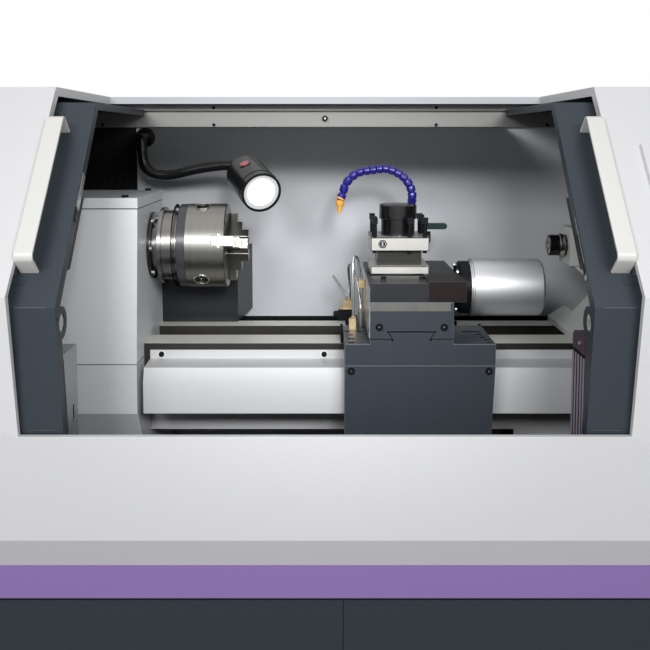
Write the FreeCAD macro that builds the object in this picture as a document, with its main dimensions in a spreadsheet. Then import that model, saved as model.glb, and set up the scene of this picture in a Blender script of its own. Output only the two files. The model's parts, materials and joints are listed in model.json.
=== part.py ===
"""Flat-bed turning lathe in a sheet-metal cabinet with two sliding doors.

Frame: millimetres, +X to the right along the bed, -Y towards the operator, +Z up.
The origin is on the floor, under the middle of the cabinet.
"""
import FreeCAD, Part
import math
import os
import re
import Sketcher

os.makedirs("parts", exist_ok=True)
doc = FreeCAD.newDocument("turning_lathe")

# ---------------------------------------------------------------- driving sizes

SIZES = {
    # cabinet outline, from the middle plane and the floor
    "half_length": 1120, "cover_sheet": 4, "sheet": 3,
    "foot_height": 50, "foot_radius": 40, "foot_thick": 10, "foot_nut": 18, "foot_stud": 12,
    "foot_inset": 150, "foot_edge": 75,
    "base_setback": 10, "base_rear": 560, "base_top": 431, "base_wall": 8, "rib_width": 170,
    "plinth_gap": 2, "plinth_inset": 6,
    "stripe_reach": 474, "stripe_height": 68,
    "lower_reach": 522.5, "lower_rise": 73,
    "knee_reach": 600, "knee_level": 1057,
    "brow_reach": 272, "top_level": 1444,
    "roof_edge": 189, "roof_lip": 18, "wall_front": 260,
    "opening_half": 565, "sill_level": 789, "rim_in": 14, "rim_down": 19, "sill_rim": 12,
    # sliding doors
    "door_width": 598, "door_lead": 487, "door_gap_knee": 31, "door_drop_knee": 25,
    "door_gap_brow": 23, "door_drop_brow": 32, "door_rear": 243,
    "door_gap_sill": 18, "door_sill_level": 782, "door_gap_foot": 24.3, "door_foot_level": 660,
    "flange_in": 30, "flange_down": 16, "bracket_in": 15,
    "window_edge": 80, "window_trail": 62, "window_low": 1085, "window_high": 1372,
    "pane_lap": 12, "pane_thick": 5,
    "ear_radius": 31, "ear_hole": 17, "ear_set_in": 40, "ear_drop": 36,
    "shoe_length": 60, "shoe_depth": 39, "shoe_thick": 4, "shoe_clear": 0.5, "shoe_inset": 70,
    "latch_depth": 60, "latch_width": 26, "latch_low": 1086, "latch_high": 1216,
    "bracket_low": 740, "bracket_height": 190, "bracket_depth": 92, "bracket_tab": 28,
    # door handles, in the plane of the leaning door
    "handle_width": 35, "handle_bar": 6, "handle_stand": 48, "handle_bend": 14,
    "handle_low": 72, "handle_high": 418, "handle_inset": 42,
    # rails
    "rail_depth": 15, "rail_low": 1365, "rail_high": 1425, "rail_wall": 3,
    "bumper_radius": 6, "bumper_level": 1389, "bumper_length": 10,
    "lower_rail_front": 12, "lower_rail_rear": 9, "lower_rail_lip": 24, "lower_web_inset": 8,
    # rear cabinet and chip tray
    "rear_half_length": 700, "rear_low": 480, "rear_high": 1400, "rear_reach": 600, "rear_wall": 4,
    "tray_half_length": 1000, "tray_wall_height": 40, "tray_inset": 34,
    # bed
    "bed_top": 869, "bed_right": 1000, "way_front": 158, "way_front_width": 86,
    "rear_way": 28, "rear_way_width": 60, "way_drop": 43, "way_thick": 15,
    "web_front": 91, "web_rear": 61, "web_low": 644, "web_shoulder": 780, "bed_leg_start": 450,
    "cover_gap": 14.5, "cover_strip": 3, "cover_ledge": 834, "cover_slope": 233,
    "cover_front": 245, "cover_chamfer": 33, "cover_low": 732,
    "cover_screw": 6, "cover_screw_head": 3, "cover_screw_pitch": 372, "cover_screw_inset": 40.5,
    "cover_screw_level": 844,
    # headstock
    "head_inset": 290, "head_length": 415.5, "seam_level": 840, "head_top": 1205, "lid_thick": 23,
    "head_front_top": 201, "head_front_low": 238, "head_rear_top": 92, "head_rear_low": 120,
    "pedestal_rear": 190, "pedestal_step": 729, "pedestal_toe": 640, "pedestal_toe_in": 58,
    # spindle, along X from the face of the headstock
    "spindle_set_front": 35, "centre_height": 211,
    "spindle_bore": 26, "spindle_tail": 50, "spindle_radius": 50, "tail_radius": 42.5,
    "running_gap": 0.05, "cover_plate": 6.5, "cover_plate_radius": 80,
    "cover_bolt": 6, "cover_bolt_circle": 70, "cover_bolt_head": 4.5, "cover_clear": 2,
    "neck_radius": 60, "neck_length": 18, "ring_radius": 91.5, "ring_length": 9,
    "nose_radius": 84, "nose_length": 26, "adapter_step_radius": 80, "adapter_step": 11,
    "adapter_radius": 99, "adapter_length": 20.5, "adapter_bore": 30,
    # chuck and jaws
    "chuck_radius": 100, "chuck_length": 91.5, "chuck_bore": 30, "chuck_edge": 2,
    "slot_width": 24.6, "slot_depth": 31, "tee_width": 34.6, "tee_depth": 17, "tee_height": 7,
    "jaw_width": 24, "jaw_fit": 0.3, "jaw_turn": 77, "jaw_inner": 12, "jaw_tip": 6,
    "jaw_step_one": 38, "jaw_step_two": 62, "jaw_step_three": 88, "jaw_outer": 97,
    "jaw_high": 48, "jaw_mid": 31, "jaw_low": 18,
    "pinion_turn": 17, "pinion_at": 35, "pinion_radius": 13, "pinion_gap": 0.1,
    "pinion_root": 60, "pinion_face": 92, "pinion_square": 11, "pinion_socket": 15, "pinion_mouth": 19,
    # guard box behind the chuck
    "guard_front": 74, "guard_high": 1048, "guard_near": 192.5, "guard_far": 214.5, "guard_relief": 0.5,
    # feed screw behind the bed
    "screw_back": 150, "screw_level": 790, "screw_radius": 16, "screw_journal": 10,
    "bearing_width": 76, "bearing_thick": 34, "screw_right": 930, "screw_end_gap": 2,
    "screw_shoulder_gap": 1, "servo_side": 100, "servo_length": 130,
    # saddle and apron
    "slide_gap": 0.3, "saddle_left": 42, "saddle_right": 364, "saddle_front": 297,
    "wing_top": 900, "wing_rear": 110, "skirt_low": 853, "skirt_rear": 166,
    "bridge_rear": 130, "rear_wing_front": 22, "rear_wing_rear": 104, "rear_wing_top": 881,
    "rear_wing_left": 16, "rear_wing_right": 40,
    "cross_left": 95.5, "cross_right": 273.5, "saddle_top": 912,
    "tail_low": 143, "tail_low_width": 82, "tail_high": 132.5, "tail_high_width": 103.5,
    "tail_height": 16.2, "nut_left": 150, "nut_width": 70, "nut_rear": 190, "nut_low": 755,
    "nut_waist": 838, "apron_low": 680, "apron_depth": 49, "apron_taper": 8, "apron_screw": 7,
    # cross slide
    "cross_top": 971, "cross_rear": 100, "plate_top": 990,
    "side_plate": 2, "side_plate_rear": 10, "side_plate_top": 1024,
    # tool post and its motor
    "post_x": 170, "post_front": 95, "post_seat": 1025.6, "block_top": 1030, "block_rear": 195,
    "block_right": 220, "gear_right": 300, "gear_front": 186, "gear_rear": 60, "gear_top": 1034,
    "boss_radius": 75, "boss_top": 1028.7, "hold_screw": 6, "hold_screw_spread": 42, "hold_screw_reach": 232,
    "plate_low": 1029, "plate_thick": 18, "core_thick": 35, "core_half": 50,
    "holder_half": 66, "holder_thick": 30,
    "clamp_inset": 9, "clamp_offset": 23, "clamp_radius": 5, "clamp_reach": 6, "clamp_top": 1157,
    "clamp_head": 13, "clamp_head_height": 14, "clamp_fit": 0.1,
    "cap_radius": 43.5, "cap_waist": 39, "cap_waist_height": 38, "cap_top": 1184,
    "motor_low": 991, "motor_front": 110, "motor_radius": 66, "motor_start": 336, "motor_end": 500,
    "motor_edge": 5, "flange_radius": 61, "flange_start": 305, "motor_neck": 34,
    # lamp
    "arm_radius": 12, "seat_radius": 26, "seat_thick": 14,
    "lamp_radius": 47.5, "lamp_back_radius": 30, "lamp_taper": 22, "lamp_length": 150, "lamp_rim": 4,
    "lens_radius": 42, "lens_thick": 6,
    "lamp_x": -200.8, "lamp_y": 15.1, "lamp_z": 1256.2,
    # coolant valve and hose
    "valve_right": 262, "valve_y": 40, "valve_level": 1091, "valve_radius": 14, "valve_length": 66,
    "spigot_height": 57,
    "riser_radius": 9, "lever_stem": 6, "lever_thick": 16, "lever_wide": 13, "lever_length": 58,
    "hose_ball": 10.5, "hose_neck": 7, "hose_bore": 4, "nozzle_tip": 4.5,
    # oil lines on the saddle
    "oil_pipe": 3.2,
    # tailstock
    "tail_left": 578, "tail_right": 790, "tail_half_width": 48, "tail_up": 46, "tail_down": 45,
    "tail_base_left": 572, "tail_base_right": 800, "tail_base_height": 40, "tail_base_rise": 62,
    "quill_radius": 25, "quill_out": 41, "quill_length": 236, "quill_fit": 0.05, "quill_screw": 10,
    "tail_wall": 12, "quill_socket": 15, "quill_socket_depth": 70,
    "wheel_radius": 90, "wheel_rim": 9, "wheel_hub": 24, "wheel_gap": 26,
    "wheel_thick": 16, "grip_radius": 9, "grip_length": 52,
    "lock_x": 620, "lock_radius": 12, "lock_height": 34, "lock_arm": 90, "lock_arm_radius": 6,
    # operator panel, on the leaning front, from the knee upwards
    "panel_left": 627, "panel_right": 1085, "panel_low": 40, "panel_high": 345, "panel_thick": 10,
    "screen_left": 652, "screen_right": 892, "screen_low": 150, "screen_high": 322, "screen_sunk": 2,
    "key_left": 925, "key_low": 168, "key_pitch": 24, "key_side": 17, "key_proud": 1.5,
    "button_row": 95, "button_well": 8, "stop_x": 700, "stop_radius": 20, "stop_height": 14,
    "stop_stem": 7, "button_lift": 6, "knob_x": 800, "knob_radius": 19, "knob_height": 16,
    "dial_x": 960, "dial_radius": 42, "dial_height": 14,
}

# Route of the lamp's bendable arm, from the rear wall to the back of the lamp.
ARM_ROUTE = [
    (-487, 260, 1338), (-487, 196, 1338), (-474, 158, 1252), (-412, 138, 1236),
    (-328, 96, 1259), (-240, 60, 1271), (-211.76, 41.53, 1265.19), (-200.95, 15.46, 1256.32),
]

# Way in which the lamp shines, along its own axis.
LAMP_AIM = (60.1, -144.9, -49.3)

# Route of the coolant hose, from the top of the riser to the nozzle.
HOSE_ROUTE = [
    (212, -10, 1176), (211.5, -12, 1190), (210.5, -13, 1206), (205.5, -14, 1222), (196, -14, 1236),
    (184, -14, 1247.5), (170, -14, 1255.5), (154.5, -14, 1262), (140, -14, 1263.5),
    (125, -14, 1261.5), (110, -14, 1259), (94, -14, 1257.5), (77, -14, 1252.5),
    (62.5, -14, 1241.5), (49, -14, 1225), (43.5, -14, 1204), (36.5, -14, 1187),
]
NOZZLE_END = (35.5, -14, 1156)

# Thin oil pipes on the saddle's left wing, each from fitting to fitting.
OIL_ROUTES = [
    [(54, 45, 930), (54, 45, 940), (19, 45, 996)],
    [(65, -148, 924), (65, -148, 950), (60, -127, 1058), (74, -110, 1058),
     (82, -101, 1024), (82, -101, 1005)],
    [(62, 45, 930), (62, 45, 950), (56, 20, 1018), (69, 0, 1018), (83, -119, 956), (83, -119, 936)],
]

sheet = doc.addObject("Spreadsheet::Sheet", "Sizes")
for row, (alias, number) in enumerate(SIZES.items(), start=1):
    sheet.set(f"A{row}", alias)
    sheet.set(f"B{row}", str(number))
    sheet.setAlias(f"B{row}", alias)
doc.recompute()

nodes = []


# ---------------------------------------------------------------- places worked out from the sizes

ENDS = "(half_length - cover_sheet)"
BASE_END = "(half_length - base_setback)"
HEAD_LEFT = "(head_inset - half_length)"
HEAD_RIGHT = "(head_inset - half_length + head_length)"
CENTRE = "(bed_top + centre_height)"
UNDER = "(bed_top + slide_gap)"
PLINTH_TOP = "(base_top + plinth_gap)"
STRIPE_TOP = "(base_top + plinth_gap + stripe_height)"
LOWER_EDGE = "(base_top + plinth_gap + stripe_height + lower_rise)"


def front_at(level):
    """Reach of the lower front panel at a level between its edge and the knee."""
    slope = f"(knee_reach - lower_reach) / (knee_level - {LOWER_EDGE})"
    return f"(-knee_reach + (knee_level - ({level})) * {slope})"


SILL_REACH = front_at("sill_level")
DOOR_SILL = f"({front_at('door_sill_level')} + door_gap_sill)"
DOOR_FOOT = f"({front_at('door_foot_level')} + door_gap_foot)"


# ---------------------------------------------------------------- helpers

def bound(text):
    """Turn plain size names into references to the sheet."""
    return re.sub(
        r"[a-z][a-z_0-9]*",
        lambda word: "Sizes." + word.group() if word.group() in SIZES else word.group(),
        str(text),
    )


def value(text):
    """Number that an expression of sizes stands for now."""
    result = sheet.evalExpression(bound(text))
    return float(getattr(result, "Value", result))


def node(shape_object, label):
    """Give a finished sub-part its label and list it for export."""
    shape_object.Label = label
    nodes.append(shape_object)
    return shape_object


def put(shape_object, x="0", y="0", z="0", axis=(0, 0, 1), turn="0"):
    """Bind a placement to expressions."""
    shape_object.Placement = FreeCAD.Placement(
        FreeCAD.Vector(value(x), value(y), value(z)),
        FreeCAD.Rotation(FreeCAD.Vector(*axis), value(turn)),
    )
    for letter, text in zip("xyz", (x, y, z)):
        shape_object.setExpression(f"Placement.Base.{letter}", bound(text))
    if re.search("[a-z]", str(turn)):
        shape_object.setExpression("Placement.Rotation.Angle", bound(turn))
    return shape_object


def poly(*points):
    return ("poly", points)


def disc(x, y, radius):
    return ("disc", x, y, radius)


def rectangle(left, right, low, high):
    return poly((left, low), (right, low), (right, high), (left, high))


def band(outer, inner):
    """Closed outline of a folded sheet between two lines of points."""
    return poly(*outer, *reversed(inner))


def draw(sketch, outlines):
    """Draw outlines whose points hang on the sheet by signed distances."""
    for outline in outlines:
        first = sketch.GeometryCount
        if outline[0] == "disc":
            _, x, y, radius = outline
            centre = FreeCAD.Vector(value(x), value(y), 0)
            sketch.addGeometry(Part.Circle(centre, FreeCAD.Vector(0, 0, 1), value(radius)), False)
            rules = [("DistanceX", -1, 1, first, 3, x), ("DistanceY", -1, 1, first, 3, y)]
            number = sketch.addConstraint(Sketcher.Constraint("Radius", first, value(radius)))
            sketch.setExpression(f"Constraints[{number}]", bound(radius))
        else:
            corners = [FreeCAD.Vector(value(x), value(y), 0) for x, y in outline[1]]
            count = len(corners)
            for index in range(count):
                line = Part.LineSegment(corners[index], corners[(index + 1) % count])
                sketch.addGeometry(line, False)
            for index in range(count):
                after = first + (index + 1) % count
                sketch.addConstraint(Sketcher.Constraint("Coincident", first + index, 2, after, 1))
            rules = []
            for index, (x, y) in enumerate(outline[1]):
                rules.append(("DistanceX", -1, 1, first + index, 1, x))
                rules.append(("DistanceY", -1, 1, first + index, 1, y))
        for kind, start, end, item, point, text in rules:
            rule = Sketcher.Constraint(kind, start, end, item, point, value(text))
            number = sketch.addConstraint(rule)
            sketch.setExpression(f"Constraints[{number}]", bound(text))


def sketch_on(body, plane, offset, outlines):
    """Sketch on one of the body's own origin planes, moved along its normal."""
    sketch = body.newObject("Sketcher::SketchObject", f"{body.Name}_outline")
    origin = next(item for item in body.Origin.OriginFeatures if item.Role == plane + "_Plane")
    sketch.AttachmentSupport = [(origin, "")]
    sketch.MapMode = "FlatFace"
    sketch.setExpression("AttachmentOffset.Base.z", bound(offset))
    draw(sketch, outlines)
    return sketch


def new_body(name):
    return doc.addObject("PartDesign::Body", name)


def add(body, plane, outlines, low, high):
    """Pad outlines from low to high along the axis that the plane leaves out."""
    start = f"-({high})" if plane == "XZ" else low
    sketch = sketch_on(body, plane, start, outlines)
    pad = body.newObject("PartDesign::Pad", f"{body.Name}_pad")
    pad.Profile = sketch
    pad.setExpression("Length", bound(f"({high}) - ({low})"))
    return pad


def cut(body, plane, outlines, low, high):
    """Pocket outlines from low to high along the axis that the plane leaves out."""
    start = f"-({low})" if plane == "XZ" else high
    sketch = sketch_on(body, plane, start, outlines)
    pocket = body.newObject("PartDesign::Pocket", f"{body.Name}_pocket")
    pocket.Profile = sketch
    pocket.setExpression("Length", bound(f"({high}) - ({low})"))
    return pocket


def prism(name, plane, outlines, low, high):
    body = new_body(name)
    add(body, plane, outlines, low, high)
    return body


def turned(name, points, axis="H"):
    """Revolve (length, radius) points about the body's X axis, or its Z axis with axis V."""
    body = new_body(name)
    pairs = points if axis == "H" else [(radius, length) for length, radius in points]
    sketch = sketch_on(body, "XZ", "0", [poly(*pairs)])
    spin = body.newObject("PartDesign::Revolution", f"{body.Name}_spin")
    spin.Profile = sketch
    spin.ReferenceAxis = (sketch, [f"{axis}_Axis"])
    spin.Angle = 360
    return body


def on_spindle(body, turn="0"):
    """Set a body on the spindle axis, turned about it."""
    return put(body, "0", "-spindle_set_front", CENTRE, (1, 0, 0), turn)


def box(name, x_range, y_range, z_range):
    block = doc.addObject("Part::Box", name)
    for length, (low, high) in zip(("Length", "Width", "Height"), (x_range, y_range, z_range)):
        block.setExpression(length, bound(f"({high}) - ({low})"))
    return put(block, x_range[0], y_range[0], z_range[0])


TURNS = {"X": ((0, 1, 0), "90"), "Y": ((1, 0, 0), "-90"), "Z": ((0, 0, 1), "0")}


def rod(name, along, x, y, z, radius, length):
    """Cylinder from a point along an axis."""
    cylinder = doc.addObject("Part::Cylinder", name)
    cylinder.setExpression("Radius", bound(radius))
    cylinder.setExpression("Height", bound(length))
    axis, turn = TURNS[along]
    return put(cylinder, x, y, z, axis, turn)


def fused(name, pieces):
    whole = doc.addObject("Part::MultiFuse", name)
    whole.Shapes = pieces
    whole.Refine = True
    return whole


def group(name, pieces):
    """Several separate solids in one sub-part."""
    whole = doc.addObject("Part::Compound", name)
    whole.Links = pieces
    return whole


def fixed_shape(name, shape):
    feature = doc.addObject("Part::Feature", name)
    feature.Shape = shape
    return feature


def rounded_route(points):
    """Straight runs through the points, joined by arcs as large as the runs allow."""
    corners = [FreeCAD.Vector(*point) for point in points]
    edges = []
    last = corners[0]
    radii = []
    for before, corner, after in zip(corners, corners[1:], corners[2:]):
        back = (before - corner).normalize()
        ahead = (after - corner).normalize()
        half_turn = (math.pi - back.getAngle(ahead)) / 2
        setback = 0.45 * min((before - corner).Length, (after - corner).Length)
        radius = setback / math.tan(half_turn)
        inwards = (back + ahead).normalize()
        middle = corner + inwards * radius * (1 / math.cos(half_turn) - 1)
        first, second = corner + back * setback, corner + ahead * setback
        edges.append(Part.LineSegment(last, first).toShape())
        edges.append(Part.Arc(first, middle, second).toShape())
        radii.append(radius)
        last = second
    edges.append(Part.LineSegment(last, corners[-1]).toShape())
    return Part.Wire(edges), min(radii)


def tube(points, radius):
    """Round bar along a route."""
    wire, tightest = rounded_route(points)
    direction = FreeCAD.Vector(*points[1]) - FreeCAD.Vector(*points[0])
    ring = Part.Wire(Part.makeCircle(radius, FreeCAD.Vector(*points[0]), direction))
    solid = wire.makePipeShell([ring], True, False)
    expected = math.pi * radius ** 2 * wire.Length
    print(f"tube r {radius}: volume {solid.Volume / expected:.4f} of section x length,"
          f" tightest bend {tightest:.1f}")
    return solid


# ---------------------------------------------------------------- cabinet

FRONT_LINE = [
    ("roof_edge", "top_level"),
    ("-brow_reach", "top_level"),
    ("-knee_reach", "knee_level"),
    ("-lower_reach", LOWER_EDGE),
    ("-stripe_reach", STRIPE_TOP),
]


def build_base():
    base = prism(
        "base_cabinet", "XY",
        [rectangle(f"-{BASE_END}", BASE_END, "-stripe_reach", "base_rear")],
        "foot_height", "base_top",
    )
    inside = ("-stripe_reach + base_wall", "base_rear - base_wall")
    for left, right in (
        (f"-{BASE_END} + rib_width", "-rib_width / 2"),
        ("rib_width / 2", f"{BASE_END} - rib_width"),
    ):
        cut(base, "XY", [rectangle(left, right, *inside)], "foot_height", "base_top - base_wall")
    plinth = rectangle(
        f"-{BASE_END} + plinth_inset", f"{BASE_END} - plinth_inset",
        "-stripe_reach + plinth_inset", "base_rear - plinth_inset",
    )
    add(base, "XY", [plinth], "base_top", PLINTH_TOP)
    node(base, "base_cabinet")

    feet = []
    for x in (f"foot_inset - {BASE_END}", "0", f"{BASE_END} - foot_inset"):
        for y in ("-stripe_reach + foot_edge", "base_rear - foot_edge"):
            foot = turned("foot", [
                ("0", "0"), ("0", "foot_radius"), ("foot_thick", "foot_radius"), ("foot_thick", "foot_stud"),
                ("foot_height", "foot_stud"), ("foot_height", "0"),
            ], "V")
            nut = poly(*[
                (f"foot_nut * cos({turn})", f"foot_nut * sin({turn})") for turn in range(0, 360, 60)
            ])
            add(foot, "XY", [nut], "foot_thick", "foot_thick + foot_nut")
            feet.append(put(foot, x, y))
    node(group("levelling_feet", feet), "levelling_feet")


def build_panels():
    stripe = box(
        "stripe_panel", (f"-{ENDS}", ENDS), ("-stripe_reach", "-stripe_reach + sheet"),
        (PLINTH_TOP, STRIPE_TOP),
    )
    node(stripe, "stripe_panel")

    inner = [
        ("roof_edge", "top_level - sheet"),
        ("-brow_reach + sheet / 2", "top_level - sheet"),
        ("-knee_reach + sheet", "knee_level - sheet / 3"),
        ("-lower_reach + sheet", f"{LOWER_EDGE} + sheet / 2"),
        ("-stripe_reach + sheet", STRIPE_TOP),
    ]
    shell = prism("front_shell", "YZ", [band(FRONT_LINE, inner)], f"-{ENDS}", ENDS)
    cut(
        shell, "XY", [rectangle("-opening_half", "opening_half", "-knee_reach - 9", "roof_edge + 9")],
        "sill_level", "top_level + 9",
    )
    rim_outer = [
        ("roof_edge", "top_level - sheet / 2"),
        ("-brow_reach + sheet / 2", "top_level - sheet / 2"),
        ("-knee_reach + sheet / 2", "knee_level - sheet / 3"),
        (SILL_REACH, "sill_level"),
    ]
    rim_inner = [
        ("roof_edge", "top_level - rim_down"),
        ("-brow_reach + rim_in", "top_level - rim_down"),
        ("-knee_reach + rim_in", "knee_level - sheet / 3"),
        (f"{SILL_REACH} + sill_rim", "sill_level"),
    ]
    for low, high in (("-opening_half - sheet", "-opening_half"), ("opening_half", "opening_half + sheet")):
        add(shell, "YZ", [band(rim_outer, rim_inner)], low, high)
    sill = rectangle(SILL_REACH, f"{SILL_REACH} + sill_rim", "sill_level - sheet", "sill_level")
    add(shell, "YZ", [sill], "-opening_half - sheet", "opening_half + sheet")
    node(shell, "front_shell")

    side = poly(
        ("-stripe_reach", PLINTH_TOP), *reversed(FRONT_LINE[1:]),
        ("wall_front + sheet", "top_level"), ("wall_front + sheet", PLINTH_TOP),
    )
    left = prism("left_cover", "YZ", [side], "-half_length", f"-{ENDS}")
    cut(left, "YZ", [disc("-spindle_set_front", CENTRE, "spindle_radius")], "-half_length", f"-{ENDS}")
    right = prism("right_cover", "YZ", [side], ENDS, "half_length")
    node(group("end_covers", [left, right]), "end_covers")

    wall = poly(
        ("roof_edge", "top_level"), ("wall_front + sheet", "top_level"),
        ("wall_front + sheet", PLINTH_TOP), ("wall_front", PLINTH_TOP),
        ("wall_front", "top_level - sheet"), ("roof_edge + sheet", "top_level - sheet"),
        ("roof_edge + sheet", "top_level - roof_lip"), ("roof_edge", "top_level - roof_lip"),
    )
    node(prism("back_wall", "YZ", [wall], f"-{ENDS}", ENDS), "back_wall")


def build_rails():
    front, back = "wall_front - rail_depth", "wall_front"
    slot_low = f"{DOOR_ROOF} - sheet - shoe_thick - shoe_clear"
    slot_high = f"{DOOR_ROOF} - sheet + shoe_clear"
    channel = poly(
        (front, "rail_low"), (back, "rail_low"), (back, "rail_high"), (front, "rail_high"),
        (front, slot_high), (f"{front} + rail_wall", slot_high),
        (f"{front} + rail_wall", "rail_high - rail_wall"), (f"{back} - rail_wall", "rail_high - rail_wall"),
        (f"{back} - rail_wall", "rail_low + rail_wall"), (f"{front} + rail_wall", "rail_low + rail_wall"),
        (f"{front} + rail_wall", slot_low), (front, slot_low),
    )
    top_rail = prism("top_rail", "YZ", [channel], f"-{ENDS}", ENDS)
    add(top_rail, "XZ", [disc("0", "bumper_level", "bumper_radius")], f"{front} - bumper_length", front)

    lip_front, lip_rear = f"{DOOR_FOOT} - lower_rail_front", f"{DOOR_FOOT} + sheet + lower_rail_rear"
    web = "-stripe_reach + lower_web_inset"
    floor = "door_foot_level - lower_rail_lip / 2"
    guide = poly(
        (lip_front, floor), (lip_front, f"{floor} + lower_rail_lip"),
        (f"{lip_front} + sheet", f"{floor} + lower_rail_lip"), (f"{lip_front} + sheet", f"{floor} + sheet"),
        (f"{lip_rear} - sheet", f"{floor} + sheet"), (f"{lip_rear} - sheet", f"{floor} + lower_rail_lip"),
        (lip_rear, f"{floor} + lower_rail_lip"), (lip_rear, f"{floor} + sheet"),
        (f"{web} + sheet", f"{floor} + sheet"), (f"{web} + sheet", PLINTH_TOP),
        (web, PLINTH_TOP), (web, floor),
    )
    lower_rail = prism("lower_rail", "YZ", [guide], f"-{ENDS}", ENDS)
    node(group("door_rails", [top_rail, lower_rail]), "door_rails")


def build_rear():
    cabinet = prism(
        "electrical_cabinet", "XZ",
        [rectangle("-rear_half_length", "rear_half_length", "rear_low", "rear_high")],
        "wall_front + sheet", "rear_reach",
    )
    hollow = rectangle(
        "-rear_half_length + rear_wall", "rear_half_length - rear_wall",
        "rear_low + rear_wall", "rear_high - rear_wall",
    )
    cut(cabinet, "XZ", [hollow], "wall_front + sheet", "rear_reach - rear_wall")
    node(cabinet, "electrical_cabinet")

    front = "-stripe_reach + tray_inset"
    tray = prism(
        "chip_tray", "YZ",
        [poly(
            (front, PLINTH_TOP), ("wall_front", PLINTH_TOP),
            ("wall_front", f"{PLINTH_TOP} + tray_wall_height"),
            ("wall_front - sheet", f"{PLINTH_TOP} + tray_wall_height"),
            ("wall_front - sheet", f"{PLINTH_TOP} + sheet"), (f"{front} + sheet", f"{PLINTH_TOP} + sheet"),
            (f"{front} + sheet", f"{PLINTH_TOP} + tray_wall_height"),
            (front, f"{PLINTH_TOP} + tray_wall_height"),
        )],
        HEAD_RIGHT, "tray_half_length",
    )
    leg = rectangle("bed_leg_start - slide_gap", "bed_right + slide_gap",
                    "-web_front - slide_gap", "web_rear + slide_gap")
    cut(tray, "XY", [leg], PLINTH_TOP, f"{PLINTH_TOP} + sheet")
    node(tray, "chip_tray")


# ---------------------------------------------------------------- doors

DOOR_ROOF = "top_level - door_drop_brow"
DOOR_KNEE = ("-knee_reach + door_gap_knee", "knee_level - door_drop_knee")
DOOR_BROW = ("-brow_reach + door_gap_brow", DOOR_ROOF)
DOOR_LEAN = (
    "atan2((-brow_reach + door_gap_brow) - (-knee_reach + door_gap_knee);"
    " (top_level - door_drop_brow) - (knee_level - door_drop_knee))"
)
DOOR_LINE = [
    ("door_rear", DOOR_ROOF),
    DOOR_BROW,
    DOOR_KNEE,
    (DOOR_SILL, "door_sill_level"),
    (DOOR_FOOT, "door_foot_level"),
]


def behind_skin(level, depth="0"):
    """Point at a level, some distance in from the inner face of the door's leaning skin."""
    low_y, low_z = f"({DOOR_KNEE[0]} + sheet)", f"({DOOR_KNEE[1]} - sheet / 3)"
    high_y, high_z = f"({DOOR_BROW[0]} + sheet / 2)", f"({DOOR_ROOF} - sheet)"
    slope = f"({high_y} - {low_y}) / ({high_z} - {low_z})"
    return (f"{low_y} + ({level} - {low_z}) * {slope} + {depth}", level)


def across_door(sign, near, far):
    """X range between two distances behind the leading edge of a door."""
    first, second = (f"{sign} * (door_lead + {near})", f"{sign} * (door_lead + {far})")
    return (second, first) if sign < 0 else (first, second)


def build_door(side, sign):
    """One door with its ear, shoes and latch block; sign is -1 on the left and +1 on the right."""
    def across(near, far):
        return across_door(sign, near, far)

    skin_inner = [
        ("door_rear", f"{DOOR_ROOF} - sheet"),
        (f"{DOOR_BROW[0]} + sheet / 2", f"{DOOR_ROOF} - sheet"),
        (f"{DOOR_KNEE[0]} + sheet", f"{DOOR_KNEE[1]} - sheet / 3"),
        (f"{DOOR_SILL} + sheet", "door_sill_level"),
        (f"{DOOR_FOOT} + sheet", "door_foot_level"),
    ]
    flange_inner = [
        ("door_rear", f"{DOOR_ROOF} - flange_down"),
        (f"{DOOR_BROW[0]} + flange_in / 2", f"{DOOR_ROOF} - flange_down"),
        (f"{DOOR_KNEE[0]} + flange_in", f"{DOOR_KNEE[1]} - flange_down / 3"),
        (f"{DOOR_SILL} + flange_in", "door_sill_level"),
        (f"{DOOR_FOOT} + sheet", "door_foot_level + 2 * flange_in"),
        (f"{DOOR_FOOT} + sheet", "door_foot_level"),
    ]
    door = prism(f"{side}_door", "YZ", [band(DOOR_LINE, skin_inner)], *across("0", "door_width"))
    add(door, "YZ", [band(DOOR_LINE, flange_inner)], *across("0", "sheet"))
    add(door, "YZ", [band(DOOR_LINE, flange_inner)], *across("door_width - sheet", "door_width"))
    ear = (f"{DOOR_KNEE[0]} + ear_set_in", f"{DOOR_KNEE[1]} - ear_drop")
    add(door, "YZ", [disc(*ear, "ear_radius")], *across("0", "sheet"))
    cut(door, "YZ", [disc(*ear, "ear_hole")], *across("0", "sheet"))
    window_x = across("window_edge", "door_width - window_trail")
    cut(door, "XZ", [rectangle(*window_x, "window_low", "window_high")],
        "-knee_reach", "-brow_reach + 2 * rim_in + 60")
    latch = poly(behind_skin("latch_low"), behind_skin("latch_high"),
                 behind_skin("latch_high", "latch_depth"), behind_skin("latch_low", "latch_depth"))
    add(door, "YZ", [latch], *across("sheet", "sheet + latch_width"))
    for inset in ("shoe_inset", "door_width - shoe_inset - shoe_length"):
        shoe = rectangle(
            *across(inset, f"{inset} + shoe_length"), "door_rear + rail_depth - 4 - shoe_depth",
            "door_rear + rail_depth - 4")
        add(door, "XY", [shoe], f"{DOOR_ROOF} - sheet - shoe_thick", f"{DOOR_ROOF} - sheet")
    node(door, f"{side}_door")

    low, high = "window_low - pane_lap", "window_high + pane_lap"
    pane = poly(behind_skin(low), behind_skin(high), behind_skin(high, "pane_thick"),
                behind_skin(low, "pane_thick"))
    window = prism(f"{side}_door_window", "YZ", [pane],
                   *across("window_edge - pane_lap", "door_width - window_trail + pane_lap"))
    node(window, f"{side}_door_window")


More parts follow.
